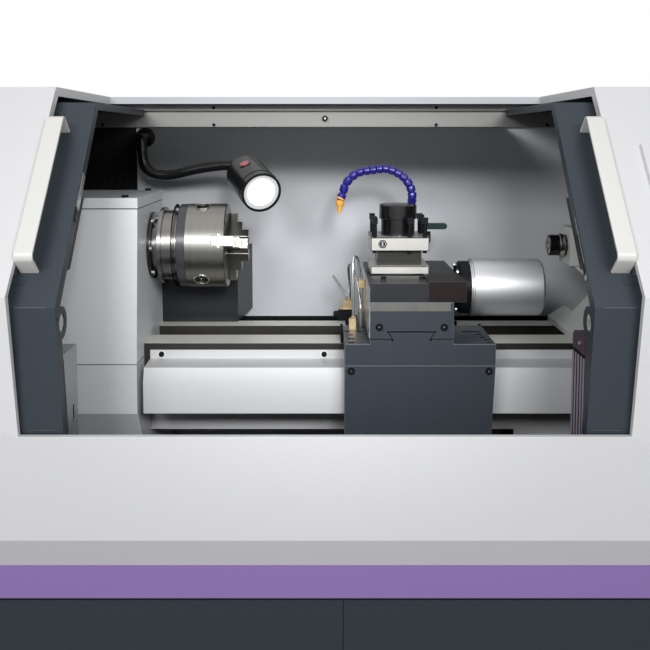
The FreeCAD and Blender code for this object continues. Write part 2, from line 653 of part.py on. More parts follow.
def build_handle(side, sign):
    """Flat bar bent back at both ends, on the leaning stile of the door."""
    handle = new_body(f"{side}_handle")
    middle = f"{sign} * (door_lead + handle_inset + handle_width / 2)"
    out, face = "-handle_stand - handle_bar", "-handle_stand"
    bar = poly(
        ("0", "handle_low"), (out, "handle_low"), (out, "handle_high"), ("0", "handle_high"),
        ("0", "handle_high - handle_bar"), (face, "handle_high - handle_bar"),
        (face, "handle_low + handle_bar"), ("0", "handle_low + handle_bar"),
    )
    add(handle, "YZ", [bar], f"{middle} - handle_width / 2", f"{middle} + handle_width / 2")
    for level, radius in ((out, "handle_bend"), (face, "handle_bend - handle_bar")):
        doc.recompute()
        straight = handle.Tip
        bends = []
        for index, edge in enumerate(straight.Shape.Edges, start=1):
            centre = edge.CenterOfMass
            crosswise = abs(edge.tangentAt(edge.FirstParameter).x) > 0.9
            if crosswise and abs(centre.y - value(level)) < 0.01:
                bends.append(f"Edge{index}")
        round_off = handle.newObject("PartDesign::Fillet", f"{side}_handle_bend")
        round_off.Base = (straight, bends)
        round_off.setExpression("Radius", bound(radius))
    put(handle, "0", DOOR_KNEE[0], DOOR_KNEE[1], (1, 0, 0), f"-{DOOR_LEAN}")
    node(handle, f"{side}_handle")


def build_door_edges():
    """Zinc plate behind the left door's edge and seal channel behind the right door's edge."""
    front, rear = f"{DOOR_SILL} + bracket_in", f"{DOOR_SILL} + bracket_in + bracket_depth"
    high = "bracket_low + bracket_height"
    plate_left, plate_right = "-door_lead - 2 * sheet", "-door_lead - sheet"
    plate = prism("left_door_bracket", "YZ", [rectangle(front, rear, "bracket_low", high)],
                  plate_left, plate_right)
    add(plate, "XY", [rectangle("-door_lead - bracket_tab", plate_right, front, rear)],
        high, f"{high} + sheet")
    cut(plate, "YZ", [disc(f"{rear} - 30", "bracket_low + 50", "5"),
                      rectangle(f"{rear} - 33", f"{rear} - 27", "bracket_low + 60", "bracket_low + 80")],
        plate_left, plate_right)
    node(plate, "left_door_bracket")

    near, far = "door_lead + sheet", "door_lead + sheet + bracket_tab"
    channel = prism("right_door_channel", "XY", [poly(
        (near, front), (near, rear), (far, rear), (far, f"{rear} - sheet"),
        (f"{near} + sheet", f"{rear} - sheet"), (f"{near} + sheet", front),
    )], "bracket_low", f"{high} + bracket_tab")
    add(channel, "XY", [rectangle(near, far, front, rear)],
        f"{high} + bracket_tab", f"{high} + bracket_tab + sheet")
    node(channel, "right_door_channel")


# ---------------------------------------------------------------- bed and headstock

def build_bed():
    top, floor = "bed_top", "bed_top - way_drop"
    section = poly(
        ("-way_front", top), ("-way_front + way_front_width", top), ("-way_front + way_front_width", floor),
        ("rear_way", floor), ("rear_way", top), ("rear_way + rear_way_width", top),
        ("rear_way + rear_way_width", f"{floor} - 15"), ("web_rear", "web_shoulder"),
        ("web_rear", "web_low"), ("-web_front", "web_low"), ("-web_front", "web_shoulder"),
        ("-way_front", f"{floor} - 15"),
    )
    bed = prism("bed", "YZ", [section], HEAD_RIGHT, "bed_right")
    add(bed, "XY", [rectangle("bed_leg_start", "bed_right", "-web_front", "web_rear")],
        PLINTH_TOP, "web_low")
    side = rectangle("web_rear", "screw_back + bearing_width / 2",
                     "screw_level - bearing_width / 2", "screw_level + bearing_width / 2")
    add(bed, "YZ", [side], "screw_right - bearing_thick", "screw_right")
    cut(bed, "YZ", [disc("screw_back", "screw_level", "screw_journal + running_gap")],
        "screw_right - bearing_thick", "screw_right")
    node(bed, "bed")

    strip_front = "-way_front - cover_strip"
    cover_section = poly(
        ("-way_front", "bed_top - way_thick"), (strip_front, "bed_top - way_thick"),
        (strip_front, "cover_ledge"), ("-cover_slope", "cover_ledge - 2"),
        ("-cover_front", "cover_ledge - cover_chamfer"), ("-cover_front", "cover_low"),
        ("-web_front", "cover_low - 3"), ("-web_front", "web_shoulder"),
        ("-way_front", "bed_top - way_drop - 15"),
    )
    cover = prism("bed_cover", "YZ", [cover_section], f"{HEAD_RIGHT} + cover_gap", "bed_right")
    for number in range(4):
        at_x = f"{HEAD_RIGHT} + cover_screw_inset + {number} * cover_screw_pitch"
        add(cover, "XZ", [disc(at_x, "cover_screw_level", "cover_screw")],
            f"{strip_front} - cover_screw_head", strip_front)
    node(cover, "bed_cover")


def build_headstock():
    pedestal = prism(
        "headstock_pedestal", "YZ",
        [poly(
            ("-head_front_low", "seam_level"), ("-head_front_low", "pedestal_step"),
            ("-head_front_low + pedestal_toe_in", "pedestal_toe"),
            ("-head_front_low + pedestal_toe_in", PLINTH_TOP), ("pedestal_rear", PLINTH_TOP),
            ("pedestal_rear", "seam_level"),
        )],
        HEAD_LEFT, HEAD_RIGHT,
    )
    add(pedestal, "YZ", [rectangle(
        "pedestal_rear - bearing_width", "pedestal_rear",
        "screw_level - bearing_width / 2", "screw_level + bearing_width / 2",
    )], HEAD_RIGHT, f"{HEAD_RIGHT} + bearing_thick")
    cut(pedestal, "YZ", [disc("screw_back", "screw_level", "screw_journal + running_gap")],
        f"{HEAD_RIGHT} - bearing_thick", f"{HEAD_RIGHT} + bearing_thick")
    node(pedestal, "headstock_pedestal")

    lid_low = "head_top - lid_thick"
    head = prism(
        "headstock", "YZ",
        [poly(("-head_front_low", "seam_level"), ("head_rear_low", "seam_level"),
              ("head_rear_top", lid_low), ("-head_front_top", lid_low))],
        HEAD_LEFT, HEAD_RIGHT,
    )
    cut(head, "YZ", [disc("-spindle_set_front", CENTRE, "spindle_radius + running_gap")],
        HEAD_LEFT, HEAD_RIGHT)
    add(head, "YZ", [rectangle("-head_front_top - 2", "head_rear_top + 2", lid_low, "head_top")],
        f"{HEAD_LEFT} - 2", f"{HEAD_RIGHT} + 1")
    node(head, "headstock")

    cover = turned("bearing_cover", [
        (HEAD_RIGHT, "spindle_radius + cover_clear"), (HEAD_RIGHT, "cover_plate_radius"),
        (f"{HEAD_RIGHT} + cover_plate", "cover_plate_radius"),
        (f"{HEAD_RIGHT} + cover_plate", "spindle_radius + cover_clear"),
    ])
    heads = [
        disc(f"cover_bolt_circle * sin({angle})", f"cover_bolt_circle * cos({angle})", "cover_bolt")
        for angle in range(30, 390, 60)
    ]
    add(cover, "YZ", heads, f"{HEAD_RIGHT} + cover_plate", f"{HEAD_RIGHT} + cover_plate + cover_bolt_head")
    on_spindle(cover)
    node(cover, "bearing_cover")

    guard = prism(
        "chuck_guard", "XY",
        [poly((HEAD_RIGHT, "guard_front"), (f"{HEAD_RIGHT} + guard_near", "guard_front"),
              (f"{HEAD_RIGHT} + guard_far", "wall_front"),
              (HEAD_RIGHT, "wall_front"))],
        "bed_top", "guard_high",
    )
    cut(guard, "YZ", [poly(("guard_front", "bed_top"), ("guard_front", "guard_high"),
                           ("head_rear_low", "bed_top"))], HEAD_RIGHT, f"{HEAD_RIGHT} + guard_relief")
    node(guard, "chuck_guard")


# ---------------------------------------------------------------- spindle and chuck

NECK_START = f"{HEAD_RIGHT} + cover_plate"
RING_START = f"{NECK_START} + neck_length"
NOSE_START = f"{RING_START} + ring_length"
STEP_START = f"{NOSE_START} + nose_length"
ADAPTER_START = f"{STEP_START} + adapter_step"
CHUCK_START = f"{ADAPTER_START} + adapter_length"
CHUCK_FACE = f"{CHUCK_START} + chuck_length"


def build_spindle():
    spindle = turned("spindle", [
        (f"{HEAD_LEFT} - spindle_tail", "spindle_bore"), (f"{HEAD_LEFT} - spindle_tail", "tail_radius"),
        (HEAD_LEFT, "tail_radius"), (HEAD_LEFT, "spindle_radius"),
        (f"{NECK_START} + 2", "spindle_radius"), (f"{NECK_START} + 2", "neck_radius"),
        (NOSE_START, "neck_radius"), (NOSE_START, "nose_radius"), (STEP_START, "nose_radius"),
        (STEP_START, "spindle_bore"),
    ])
    node(on_spindle(spindle), "spindle")
    ring = turned("balance_ring", [
        (RING_START, "neck_radius"), (RING_START, "ring_radius - 1"), (f"{RING_START} + 1", "ring_radius"),
        (NOSE_START, "ring_radius"), (NOSE_START, "neck_radius"),
    ])
    node(on_spindle(ring), "balance_ring")
    adapter = turned("chuck_adapter", [
        (STEP_START, "adapter_bore"), (STEP_START, "adapter_step_radius"),
        (ADAPTER_START, "adapter_step_radius"), (ADAPTER_START, "adapter_radius - 1.5"),
        (f"{ADAPTER_START} + 1.5", "adapter_radius"), (CHUCK_START, "adapter_radius"),
        (CHUCK_START, "adapter_bore"),
    ])
    node(on_spindle(adapter), "chuck_adapter")

    chuck = turned("chuck_body", [
        (CHUCK_START, "chuck_bore"), (CHUCK_START, "chuck_radius"),
        (f"{CHUCK_FACE} - chuck_edge", "chuck_radius"), (CHUCK_FACE, "chuck_radius - chuck_edge"),
        (CHUCK_FACE, "chuck_bore"),
    ])
    doc.recompute()
    far = "chuck_radius + 5"
    deep = f"{CHUCK_FACE} - slot_depth"
    slots = [
        cut(chuck, "YZ", [rectangle("-slot_width / 2", "slot_width / 2", "chuck_bore - 8", far)],
            deep, CHUCK_FACE),
        cut(chuck, "YZ", [rectangle("-tee_width / 2", "tee_width / 2", "chuck_bore - 8", far)],
            f"{CHUCK_FACE} - tee_depth", f"{CHUCK_FACE} - tee_depth + tee_height"),
    ]
    holes = [
        cut(chuck, "XY", [disc(f"{CHUCK_START} + pinion_at", "0", "pinion_radius + pinion_gap")],
            "pinion_root", far),
        cut(chuck, "XY", [disc(f"{CHUCK_START} + pinion_at", "0", "pinion_mouth")],
            "pinion_face + 4", far),
    ]
    for slot in slots:
        sketch = slot.Profile[0]
        turn = "jaw_turn - pinion_turn"
        sketch.AttachmentOffset = FreeCAD.Placement(
            FreeCAD.Vector(0, 0, sketch.AttachmentOffset.Base.z),
            FreeCAD.Rotation(FreeCAD.Vector(0, 0, 1), value(turn)))
        sketch.setExpression("AttachmentOffset.Rotation.Angle", bound(turn))
    axis = next(item for item in chuck.Origin.OriginFeatures if item.Role == "X_Axis")
    for features in (slots, holes):
        pattern = chuck.newObject("PartDesign::PolarPattern", "around_the_chuck")
        pattern.Originals = features
        pattern.Axis = (axis, [""])
        pattern.Angle = 360
        pattern.Occurrences = 3
        chuck.Tip = pattern
        doc.recompute()
    node(on_spindle(chuck, "pinion_turn"), "chuck_body")

    for number in range(3):
        build_jaw(number)
        build_pinion(number)


def build_jaw(number):
    """Stepped jaw, drawn with its radius along Z and turned to its slot."""
    root = f"{CHUCK_FACE} - slot_depth + jaw_fit"
    body = prism(f"jaw_{number + 1}", "XZ", [poly(
        (root, "jaw_inner"), (f"{CHUCK_FACE} + jaw_high", "jaw_inner"),
        (f"{CHUCK_FACE} + jaw_high", "jaw_step_one"), (f"{CHUCK_FACE} + jaw_mid", "jaw_step_one"),
        (f"{CHUCK_FACE} + jaw_mid", "jaw_step_two"), (f"{CHUCK_FACE} + jaw_low", "jaw_step_two"),
        (f"{CHUCK_FACE} + jaw_low", "jaw_step_three"), (f"{CHUCK_FACE}", "jaw_step_three"),
        (f"{CHUCK_FACE}", "jaw_outer"), (root, "jaw_outer"),
    )], "-jaw_width / 2", "jaw_width / 2")
    tee_low = f"{CHUCK_FACE} - tee_depth + jaw_fit"
    add(body, "XZ", [rectangle(tee_low, f"{tee_low} + tee_height - 2 * jaw_fit", "chuck_bore", "jaw_outer")],
        "-tee_width / 2 + jaw_fit", "tee_width / 2 - jaw_fit")
    for sign in ("-", ""):
        corner = poly(
            (f"{sign}(jaw_tip / 2)", "jaw_inner"), (f"{sign}(jaw_width / 2 + 1)", "jaw_inner"),
            (f"{sign}(jaw_width / 2 + 1)", "jaw_inner + (jaw_width / 2 + 1 - jaw_tip / 2) / tan(60)"),
        )
        cut(body, "YZ", [corner], root, f"{CHUCK_FACE} + jaw_high")
    node(on_spindle(body, f"jaw_turn + {120 * number}"), f"jaw_{number + 1}")


def build_pinion(number):
    """Key-driven pinion with its square socket, drawn along Z and turned to its hole."""
    body = prism(f"pinion_{number + 1}", "XY",
                 [disc(f"{CHUCK_START} + pinion_at", "0", "pinion_radius")],
                 "pinion_root + jaw_fit", "pinion_face")
    half = "pinion_square / 2"
    cut(body, "XY", [rectangle(
        f"{CHUCK_START} + pinion_at - {half}", f"{CHUCK_START} + pinion_at + {half}",
        f"-{half}", half)], "pinion_face - pinion_socket", "pinion_face")
    node(on_spindle(body, f"pinion_turn + {120 * number}"), f"pinion_{number + 1}")


def build_feed_screw():
    left, right = f"{HEAD_RIGHT} - bearing_thick + screw_end_gap", "screw_right - screw_shoulder_gap"
    thread_left = f"{HEAD_RIGHT} + bearing_thick + screw_shoulder_gap"
    thread_right = "screw_right - bearing_thick - screw_shoulder_gap"
    screw = turned("feed_screw", [
        (left, "0"), (left, "screw_journal"), (thread_left, "screw_journal"), (thread_left, "screw_radius"),
        (thread_right, "screw_radius"), (thread_right, "screw_journal"),
        (right, "screw_journal"), (right, "0"),
    ])
    node(put(screw, "0", "screw_back", "screw_level"), "feed_screw")
    servo = prism(
        "feed_servo", "YZ",
        [rectangle("screw_back - servo_side / 2", "screw_back + servo_side / 2",
                   "screw_level - servo_side / 2", "screw_level + servo_side / 2")],
        "screw_right", "screw_right + servo_length",
    )
    node(servo, "feed_servo")


# ---------------------------------------------------------------- carriage

def build_saddle():
    under = UNDER
    saddle = prism("saddle", "XY", [poly(
        ("saddle_left", "-saddle_front"), ("saddle_right", "-saddle_front"),
        ("saddle_right", "-wing_rear"), ("cross_right", "-wing_rear"),
        ("cross_right", "bridge_rear"), ("cross_left", "bridge_rear"),
        ("cross_left", "-wing_rear"), ("saddle_left", "-wing_rear"),
    )], under, "wing_top")
    add(saddle, "XY", [rectangle(
        "saddle_left + rear_wing_left", "saddle_right - rear_wing_right", "rear_wing_front", "rear_wing_rear",
    )], under, "rear_wing_top")
    add(saddle, "XY", [rectangle("saddle_left", "saddle_right", "-saddle_front", "-skirt_rear")],
        "skirt_low", under)
    add(saddle, "XY", [rectangle("cross_left", "cross_right", "-saddle_front", "bridge_rear")],
        "wing_top", "saddle_top")
    tail_top = "saddle_top + tail_height - slide_gap"
    add(saddle, "XZ", [poly(
        ("tail_low + slide_gap", "saddle_top"), ("tail_low + tail_low_width - slide_gap", "saddle_top"),
        ("tail_high + tail_high_width - slide_gap", tail_top), ("tail_high + slide_gap", tail_top),
    )], "-saddle_front", "bridge_rear")
    add(saddle, "YZ", [poly(
        ("rear_way + rear_way_width + 4", under), ("bridge_rear", under), ("bridge_rear", "nut_waist"),
        ("nut_rear", "nut_waist"), ("nut_rear", "nut_low"), ("screw_back - 30", "nut_low"),
        ("rear_way + rear_way_width + 4", "nut_low + 50"),
    )], "nut_left", "nut_left + nut_width")
    cut(saddle, "YZ", [disc("screw_back", "screw_level", "screw_radius + running_gap")],
        "nut_left", "nut_left + nut_width")
    node(saddle, "saddle")

    apron = prism("apron", "XZ", [poly(
        ("saddle_left", "skirt_low"), ("saddle_right", "skirt_low"),
        ("saddle_right - apron_taper", "apron_low"), ("saddle_left", "apron_low"),
    )], "-saddle_front", "-saddle_front + apron_depth")
    for at_x in ("saddle_left + 14", "saddle_right - 14"):
        cut(apron, "XZ", [disc(at_x, "skirt_low - 12", "apron_screw")], "-saddle_front", "-saddle_front + 2")
    node(apron, "apron")


def build_oil_lines():
    """Distributor on the rear wing, two fittings on the front wing and a union on its bracket."""
    wing, rear_wing, side = "wing_top", "rear_wing_top", "cross_left - side_plate - slide_gap"
    distributor = fused("distributor", [
        box("distributor_block", ("33", "69"), ("30", "60"), (rear_wing, f"{rear_wing} + 29")),
        box("distributor_union", ("44", "68"), ("35", "55"), (f"{rear_wing} + 29", f"{rear_wing} + 49")),
    ])
    elbow = box("elbow", ("55", "71"), ("-156", "-140"), (wing, f"{wing} + 24"))
    post = rod("post", "Z", "83", "-119", wing, "7", "36")
    union = fused("union", [
        box("union_bracket", (f"{side} - 3", side), ("-110", "-92"), (f"{wing} - 20", "988")),
        box("union_block", ("77", side), ("-110", "-92"), ("988", "1005")),
    ])
    node(group("oil_manifold", [distributor, elbow, post, union]), "oil_manifold")
    pipes = [fixed_shape("oil_pipe", tube(route, value("oil_pipe"))) for route in OIL_ROUTES]
    node(group("oil_pipes", pipes), "oil_pipes")


def build_cross_slide():
    legs_low = "saddle_top + slide_gap"
    slide = prism("cross_slide", "XZ", [poly(
        ("cross_left", legs_low), ("tail_low", legs_low), ("tail_high", "saddle_top + tail_height"),
        ("tail_high + tail_high_width", "saddle_top + tail_height"),
        ("tail_low + tail_low_width", legs_low), ("cross_right", legs_low),
        ("cross_right", "cross_top"), ("cross_left", "cross_top"),
    )], "-saddle_front", "cross_rear")
    add(slide, "XY", [rectangle("cross_left", "cross_right", "-saddle_front", "cross_rear")],
        "cross_top", "plate_top")
    for at_x in ("cross_left + 20", "cross_right - 20"):
        cut(slide, "XZ", [disc(at_x, "saddle_top + 24", "apron_screw")], "-saddle_front", "-saddle_front + 4")
    add(slide, "XY", [rectangle("cross_left - side_plate", "cross_left", "-saddle_front", "side_plate_rear")],
        legs_low, "side_plate_top")
    node(slide, "cross_slide")

    base = prism("tool_post_base", "XY", [rectangle(
        "cross_left", "gear_right", "-gear_front", "gear_rear")], "plate_top", "post_seat")
    add(base, "XY", [rectangle("cross_left", "block_right", "-block_rear", "-gear_front")],
        "plate_top", "post_seat")
    add(base, "XY", [rectangle("cross_left", "block_right", "-saddle_front", "-block_rear")],
        "plate_top", "block_top")
    add(base, "XY", [rectangle("block_right", "gear_right", "-saddle_front", "-gear_front")],
        "plate_top", "gear_top")
    add(base, "XY", [rectangle("post_x + holder_half", "gear_right", "-gear_front", "gear_rear")],
        "post_seat", "boss_top")
    add(base, "XY", [disc("post_x", "-post_front", "boss_radius")], "post_seat", "boss_top")
    screws = [disc(f"post_x {sign} hold_screw_spread", "-hold_screw_reach", "hold_screw") for sign in "-+"]
    add(base, "XY", screws, "block_top", "block_top + hold_screw")
    add(base, "YZ", [disc("-motor_front", "motor_low + motor_neck / 2", "motor_neck / 2")],
        "gear_right", "flange_start")
    node(base, "tool_post_base")

    motor = turned("tool_post_motor", [
        ("flange_start", "0"), ("flange_start", "flange_radius - 6"), ("flange_start + 6", "flange_radius"),
        ("motor_start - 3", "flange_radius"), ("motor_start - 3", "motor_radius - 6"),
        ("motor_start", "motor_radius - 6"), ("motor_start", "motor_radius"),
        ("motor_end - motor_edge", "motor_radius"), ("motor_end", "motor_radius - motor_edge"),
        ("motor_end", "0"),
    ])
    node(put(motor, "0", "-motor_front", "motor_low"), "tool_post_motor")


def build_tool_post():
    """Four-way holder, made in its own frame about its upright axis."""
    low = "plate_low"
    core_low = f"{low} + plate_thick"
    top_low = f"{core_low} + core_thick"
    top = f"{top_low} + holder_thick"
    square = rectangle("-holder_half", "holder_half", "-holder_half", "holder_half")
    holder = prism("tool_holder", "XY", [square], low, core_low)
    add(holder, "XY", [rectangle("-core_half", "core_half", "-core_half", "core_half")], core_low, top_low)
    add(holder, "XY", [square], top_low, top)
    seats = []
    for turn in range(0, 360, 90):
        for along in ("-holder_half + clamp_inset", "clamp_offset"):
            x = f"({along}) * cos({turn}) - (-holder_half + clamp_inset) * sin({turn})"
            y = f"({along}) * sin({turn}) + (-holder_half + clamp_inset) * cos({turn})"
            seats.append((x, y))
    cut(holder, "XY", [disc(x, y, "clamp_radius + clamp_fit") for x, y in seats],
        f"{top_low} - clamp_reach - 0.5", top)
    node(put(holder, "post_x", "-post_front"), "tool_holder")

    bolts = []
    for x, y in seats:
        bolt = prism("clamp_bolt", "XY", [disc("0", "0", "clamp_radius")],
                     f"{top_low} - clamp_reach", "clamp_top - clamp_head_height")
        head = rectangle("-clamp_head / 2", "clamp_head / 2", "-clamp_head / 2", "clamp_head / 2")
        add(bolt, "XY", [head], "clamp_top - clamp_head_height", "clamp_top")
        bolts.append(put(bolt, f"post_x + {x}", f"-post_front + {y}"))
    node(group("tool_clamp_bolts", bolts), "tool_clamp_bolts")

    cap = turned("tool_post_cap", [
        (top, "0"), (top, "cap_waist"), (f"{top} + cap_waist_height", "cap_waist"),
        (f"{top} + cap_waist_height", "cap_radius - 1.5"), (f"{top} + cap_waist_height + 1.5", "cap_radius"),
        ("cap_top - 3", "cap_radius"), ("cap_top", "cap_radius - 3"), ("cap_top", "0"),
    ], "V")
    node(put(cap, "post_x", "-post_front"), "tool_post_cap")


def loft_rings(rings):
    """Ruled solid through circles given as (centre, direction, radius), all starting towards +Y."""
    wires = []
    for centre, direction, radius in rings:
        circle = Part.makeCircle(radius)
        aim = FreeCAD.Rotation(FreeCAD.Vector(0, 1, 0), FreeCAD.Vector(), direction, "ZXY")
        circle.Placement = FreeCAD.Placement(centre, aim)
        wires.append(Part.Wire(circle))
    return Part.makeLoft(wires, True, True)


def build_coolant():
    riser_top = HOSE_ROUTE[0]
    pipe_x = str(riser_top[0])
    boss_x, boss_top = "valve_right - valve_radius - 2", "valve_level + valve_radius + 2"
    valve = fused("coolant_valve", [
        rod("valve_body", "X", "valve_right - valve_length", "valve_y", "valve_level", "valve_radius",
            "valve_length"),
        rod("riser", "Z", pipe_x, "valve_y", "post_seat", "riser_radius", "valve_level - post_seat"),
        rod("spigot", "Z", pipe_x, "valve_y", "valve_level", "riser_radius", "spigot_height"),
        rod("stem_boss", "Z", boss_x, "valve_y", "valve_level", "riser_radius", "valve_radius + 2"),
    ])
    node(valve, "coolant_valve")
    lever = fused("valve_lever", [
        rod("lever_pin", "Z", boss_x, "valve_y", boss_top, "lever_stem", "3"),
        box("lever_bar", (f"{boss_x} - lever_wide / 2", f"{boss_x} + lever_length"),
            ("valve_y - lever_wide / 2", "valve_y + lever_wide / 2"),
            (f"{boss_top} + 3", f"{boss_top} + 3 + lever_thick")),
    ])
    node(lever, "valve_lever")

    points = [FreeCAD.Vector(*point) for point in HOSE_ROUTE]
    end = FreeCAD.Vector(*NOZZLE_END)
    base = FreeCAD.Vector(riser_top[0], value("valve_y"), value("valve_level + spigot_height"))
    chain = [base, base + FreeCAD.Vector(0, -12, 18)]
    chain += [chain[1] + (points[1] - chain[1]) * 0.5] + points[1:]
    neck, ball, bore = value("hose_neck"), value("hose_ball"), value("hose_bore")
    segments = []
    for index, (first, second) in enumerate(zip(chain, chain[1:])):
        after = chain[index + 2] if index + 2 < len(chain) else end
        way = second - first
        start_way = (second - chain[index - 1]).normalize() if index else FreeCAD.Vector(0, 0, 1)
        end_way = (after - first).normalize()
        outside = loft_rings([
            (first, start_way, neck),
            (first + way * 0.22, (way + start_way * way.Length).normalize(), ball),
            (first + way * 0.72, (way + end_way * way.Length).normalize(), ball),
            (second, end_way, neck),
        ])
        segments.append(outside.cut(loft_rings([(first, start_way, bore), (second, end_way, bore)])))
    node(fixed_shape("coolant_hose", Part.makeCompound(segments)), "coolant_hose")

    mouth = value("nozzle_tip")
    bore_radius = value("hose_bore") - 1
    start = chain[-1]
    nozzle_way = (end - start).normalize()
    nozzle = loft_rings([
        (start, end_way, ball), (start + (end - start) * 0.3, nozzle_way, ball),
        (start + (end - start) * 0.55, nozzle_way, mouth + 2), (end, nozzle_way, mouth),
    ]).cut(loft_rings([(start, end_way, bore_radius), (end, nozzle_way, bore_radius)]))
    node(fixed_shape("hose_nozzle", nozzle), "hose_nozzle")


# ---------------------------------------------------------------- tailstock

def build_tailstock():
    centre, under = CENTRE, UNDER
    left, right = "-spindle_set_front - tail_half_width", "-spindle_set_front + tail_half_width"
    body = prism("tailstock_body", "YZ", [poly(
        (left, f"{centre} - tail_down"), (right, f"{centre} - tail_down"),
        (right, f"{centre} + tail_up - 14"), (f"{right} - 14", f"{centre} + tail_up"),
        (f"{left} + 14", f"{centre} + tail_up"), (left, f"{centre} + tail_up - 14"),
    )], "tail_left", "tail_right")
    add(body, "XZ", [poly(
        ("tail_base_left + 40", f"{under} + tail_base_height"),
        ("tail_base_right", f"{under} + tail_base_height"),
        ("tail_right", f"{centre} - tail_down"), ("tail_left + 8", f"{centre} - tail_down"),
        ("tail_base_left + 76", f"{centre} - tail_down - 50"),
        ("tail_base_left + 76", f"{under} + tail_base_rise + 20"),
    )], f"{left} + 6", f"{right} - 6")
    add(body, "XZ", [poly(
        ("tail_base_left", under), ("tail_base_right", under),
        ("tail_base_right", f"{under} + tail_base_height"),
        ("tail_base_left + 40", f"{under} + tail_base_height"), ("tail_base_left", f"{under} + 14"),
    )], "-way_front", "rear_way + rear_way_width")
    cut(body, "YZ", [disc("-spindle_set_front", centre, "quill_radius + quill_fit")],
        "tail_left", "tail_right - tail_wall")
    cut(body, "YZ", [disc("-spindle_set_front", centre, "quill_screw + quill_fit")],
        "tail_right - tail_wall", "tail_right")
    node(body, "tailstock_body")

    quill_left = "tail_left - quill_out"
    quill = turned("quill", [
        (quill_left, "quill_socket"), (quill_left, "quill_radius - 1.5"),
        (f"{quill_left} + 1.5", "quill_radius"), (f"{quill_left} + quill_length", "quill_radius"),
        (f"{quill_left} + quill_length", "quill_screw + quill_fit"),
        (f"{quill_left} + quill_socket_depth + 10", "quill_screw + quill_fit"),
        (f"{quill_left} + quill_socket_depth + 10", "0"), (f"{quill_left} + quill_socket_depth", "0"),
        (f"{quill_left} + quill_socket_depth", "quill_socket - 4"),
    ])
    node(on_spindle(quill), "quill")

    hub = "tail_right + running_gap"
    web, rim_in = f"{hub} + wheel_gap", "wheel_radius - wheel_rim * 2"
    wheel = turned("tailstock_wheel", [
        ("tail_left + 60", "0"), ("tail_left + 60", "quill_screw"), (hub, "quill_screw"),
        (hub, "wheel_hub"), (web, "wheel_hub"), (web, "wheel_radius - 4"), (f"{web} + 4", "wheel_radius"),
        (f"{web} + wheel_thick - 4", "wheel_radius"), (f"{web} + wheel_thick", "wheel_radius - 4"),
        (f"{web} + wheel_thick", rim_in), (f"{web} + wheel_thick / 2", rim_in),
        (f"{web} + wheel_thick / 2", "wheel_hub"), (f"{web} + wheel_thick", "wheel_hub"),
        (f"{web} + wheel_thick", "0"),
    ])
    add(wheel, "YZ", [disc("0", "wheel_radius - wheel_rim * 1.4", "grip_radius")],
        f"{web} + wheel_thick / 2", f"{web} + wheel_thick + grip_length")
    node(on_spindle(wheel), "tailstock_wheel")

    lock_foot = f"{centre} + tail_up"
    lock = fused("quill_lock", [
        rod("lock_post", "Z", "lock_x", "-spindle_set_front", lock_foot, "lock_radius", "lock_height"),
        rod("lock_lever", "Y", "lock_x", "-spindle_set_front", f"{lock_foot} + lock_height - 10",
            "lock_arm_radius", "lock_arm"),
    ])
    node(lock, "quill_lock")


# ---------------------------------------------------------------- lamp

def build_lamp():
    arm = fixed_shape("bent_arm", tube(ARM_ROUTE, value("arm_radius")))
    seat = rod("arm_seat", "Y", str(ARM_ROUTE[0][0]), "wall_front - seat_thick", str(ARM_ROUTE[0][2]),
               "seat_radius", "seat_thick")
    node(fused("lamp_arm", [arm, seat]), "lamp_arm")
    turn = FreeCAD.Rotation(FreeCAD.Vector(1, 0, 0), FreeCAD.Vector(*LAMP_AIM))
    axis = (turn.Axis.x, turn.Axis.y, turn.Axis.z)
    angle = str(math.degrees(turn.Angle))
    head = turned("lamp_head", [
        ("0", "0"), ("0", "lamp_back_radius"), ("lamp_taper", "lamp_radius"), ("lamp_length", "lamp_radius"),
        ("lamp_length", "lens_radius"), ("lamp_length - lamp_rim - lens_thick", "lens_radius"),
        ("lamp_length - lamp_rim - lens_thick", "0"),
    ])
    node(put(head, "lamp_x", "lamp_y", "lamp_z", axis, angle), "lamp_head")
    lens = turned("lamp_lens", [
        ("lamp_length - lamp_rim - lens_thick", "0"), ("lamp_length - lamp_rim - lens_thick", "lens_radius"),
        ("lamp_length - lamp_rim", "lens_radius"), ("lamp_length - lamp_rim", "0"),
    ])
    node(put(lens, "lamp_x", "lamp_y", "lamp_z", axis, angle), "lamp_lens")


# ---------------------------------------------------------------- operator panel

LEAN = "atan2(knee_reach - brow_reach; top_level - knee_level)"


def on_lean(body):
    """Set a body drawn upright on the knee line, leaning back with the front."""
    return put(body, "0", "-knee_reach", "knee_level", (1, 0, 0), f"-{LEAN}")


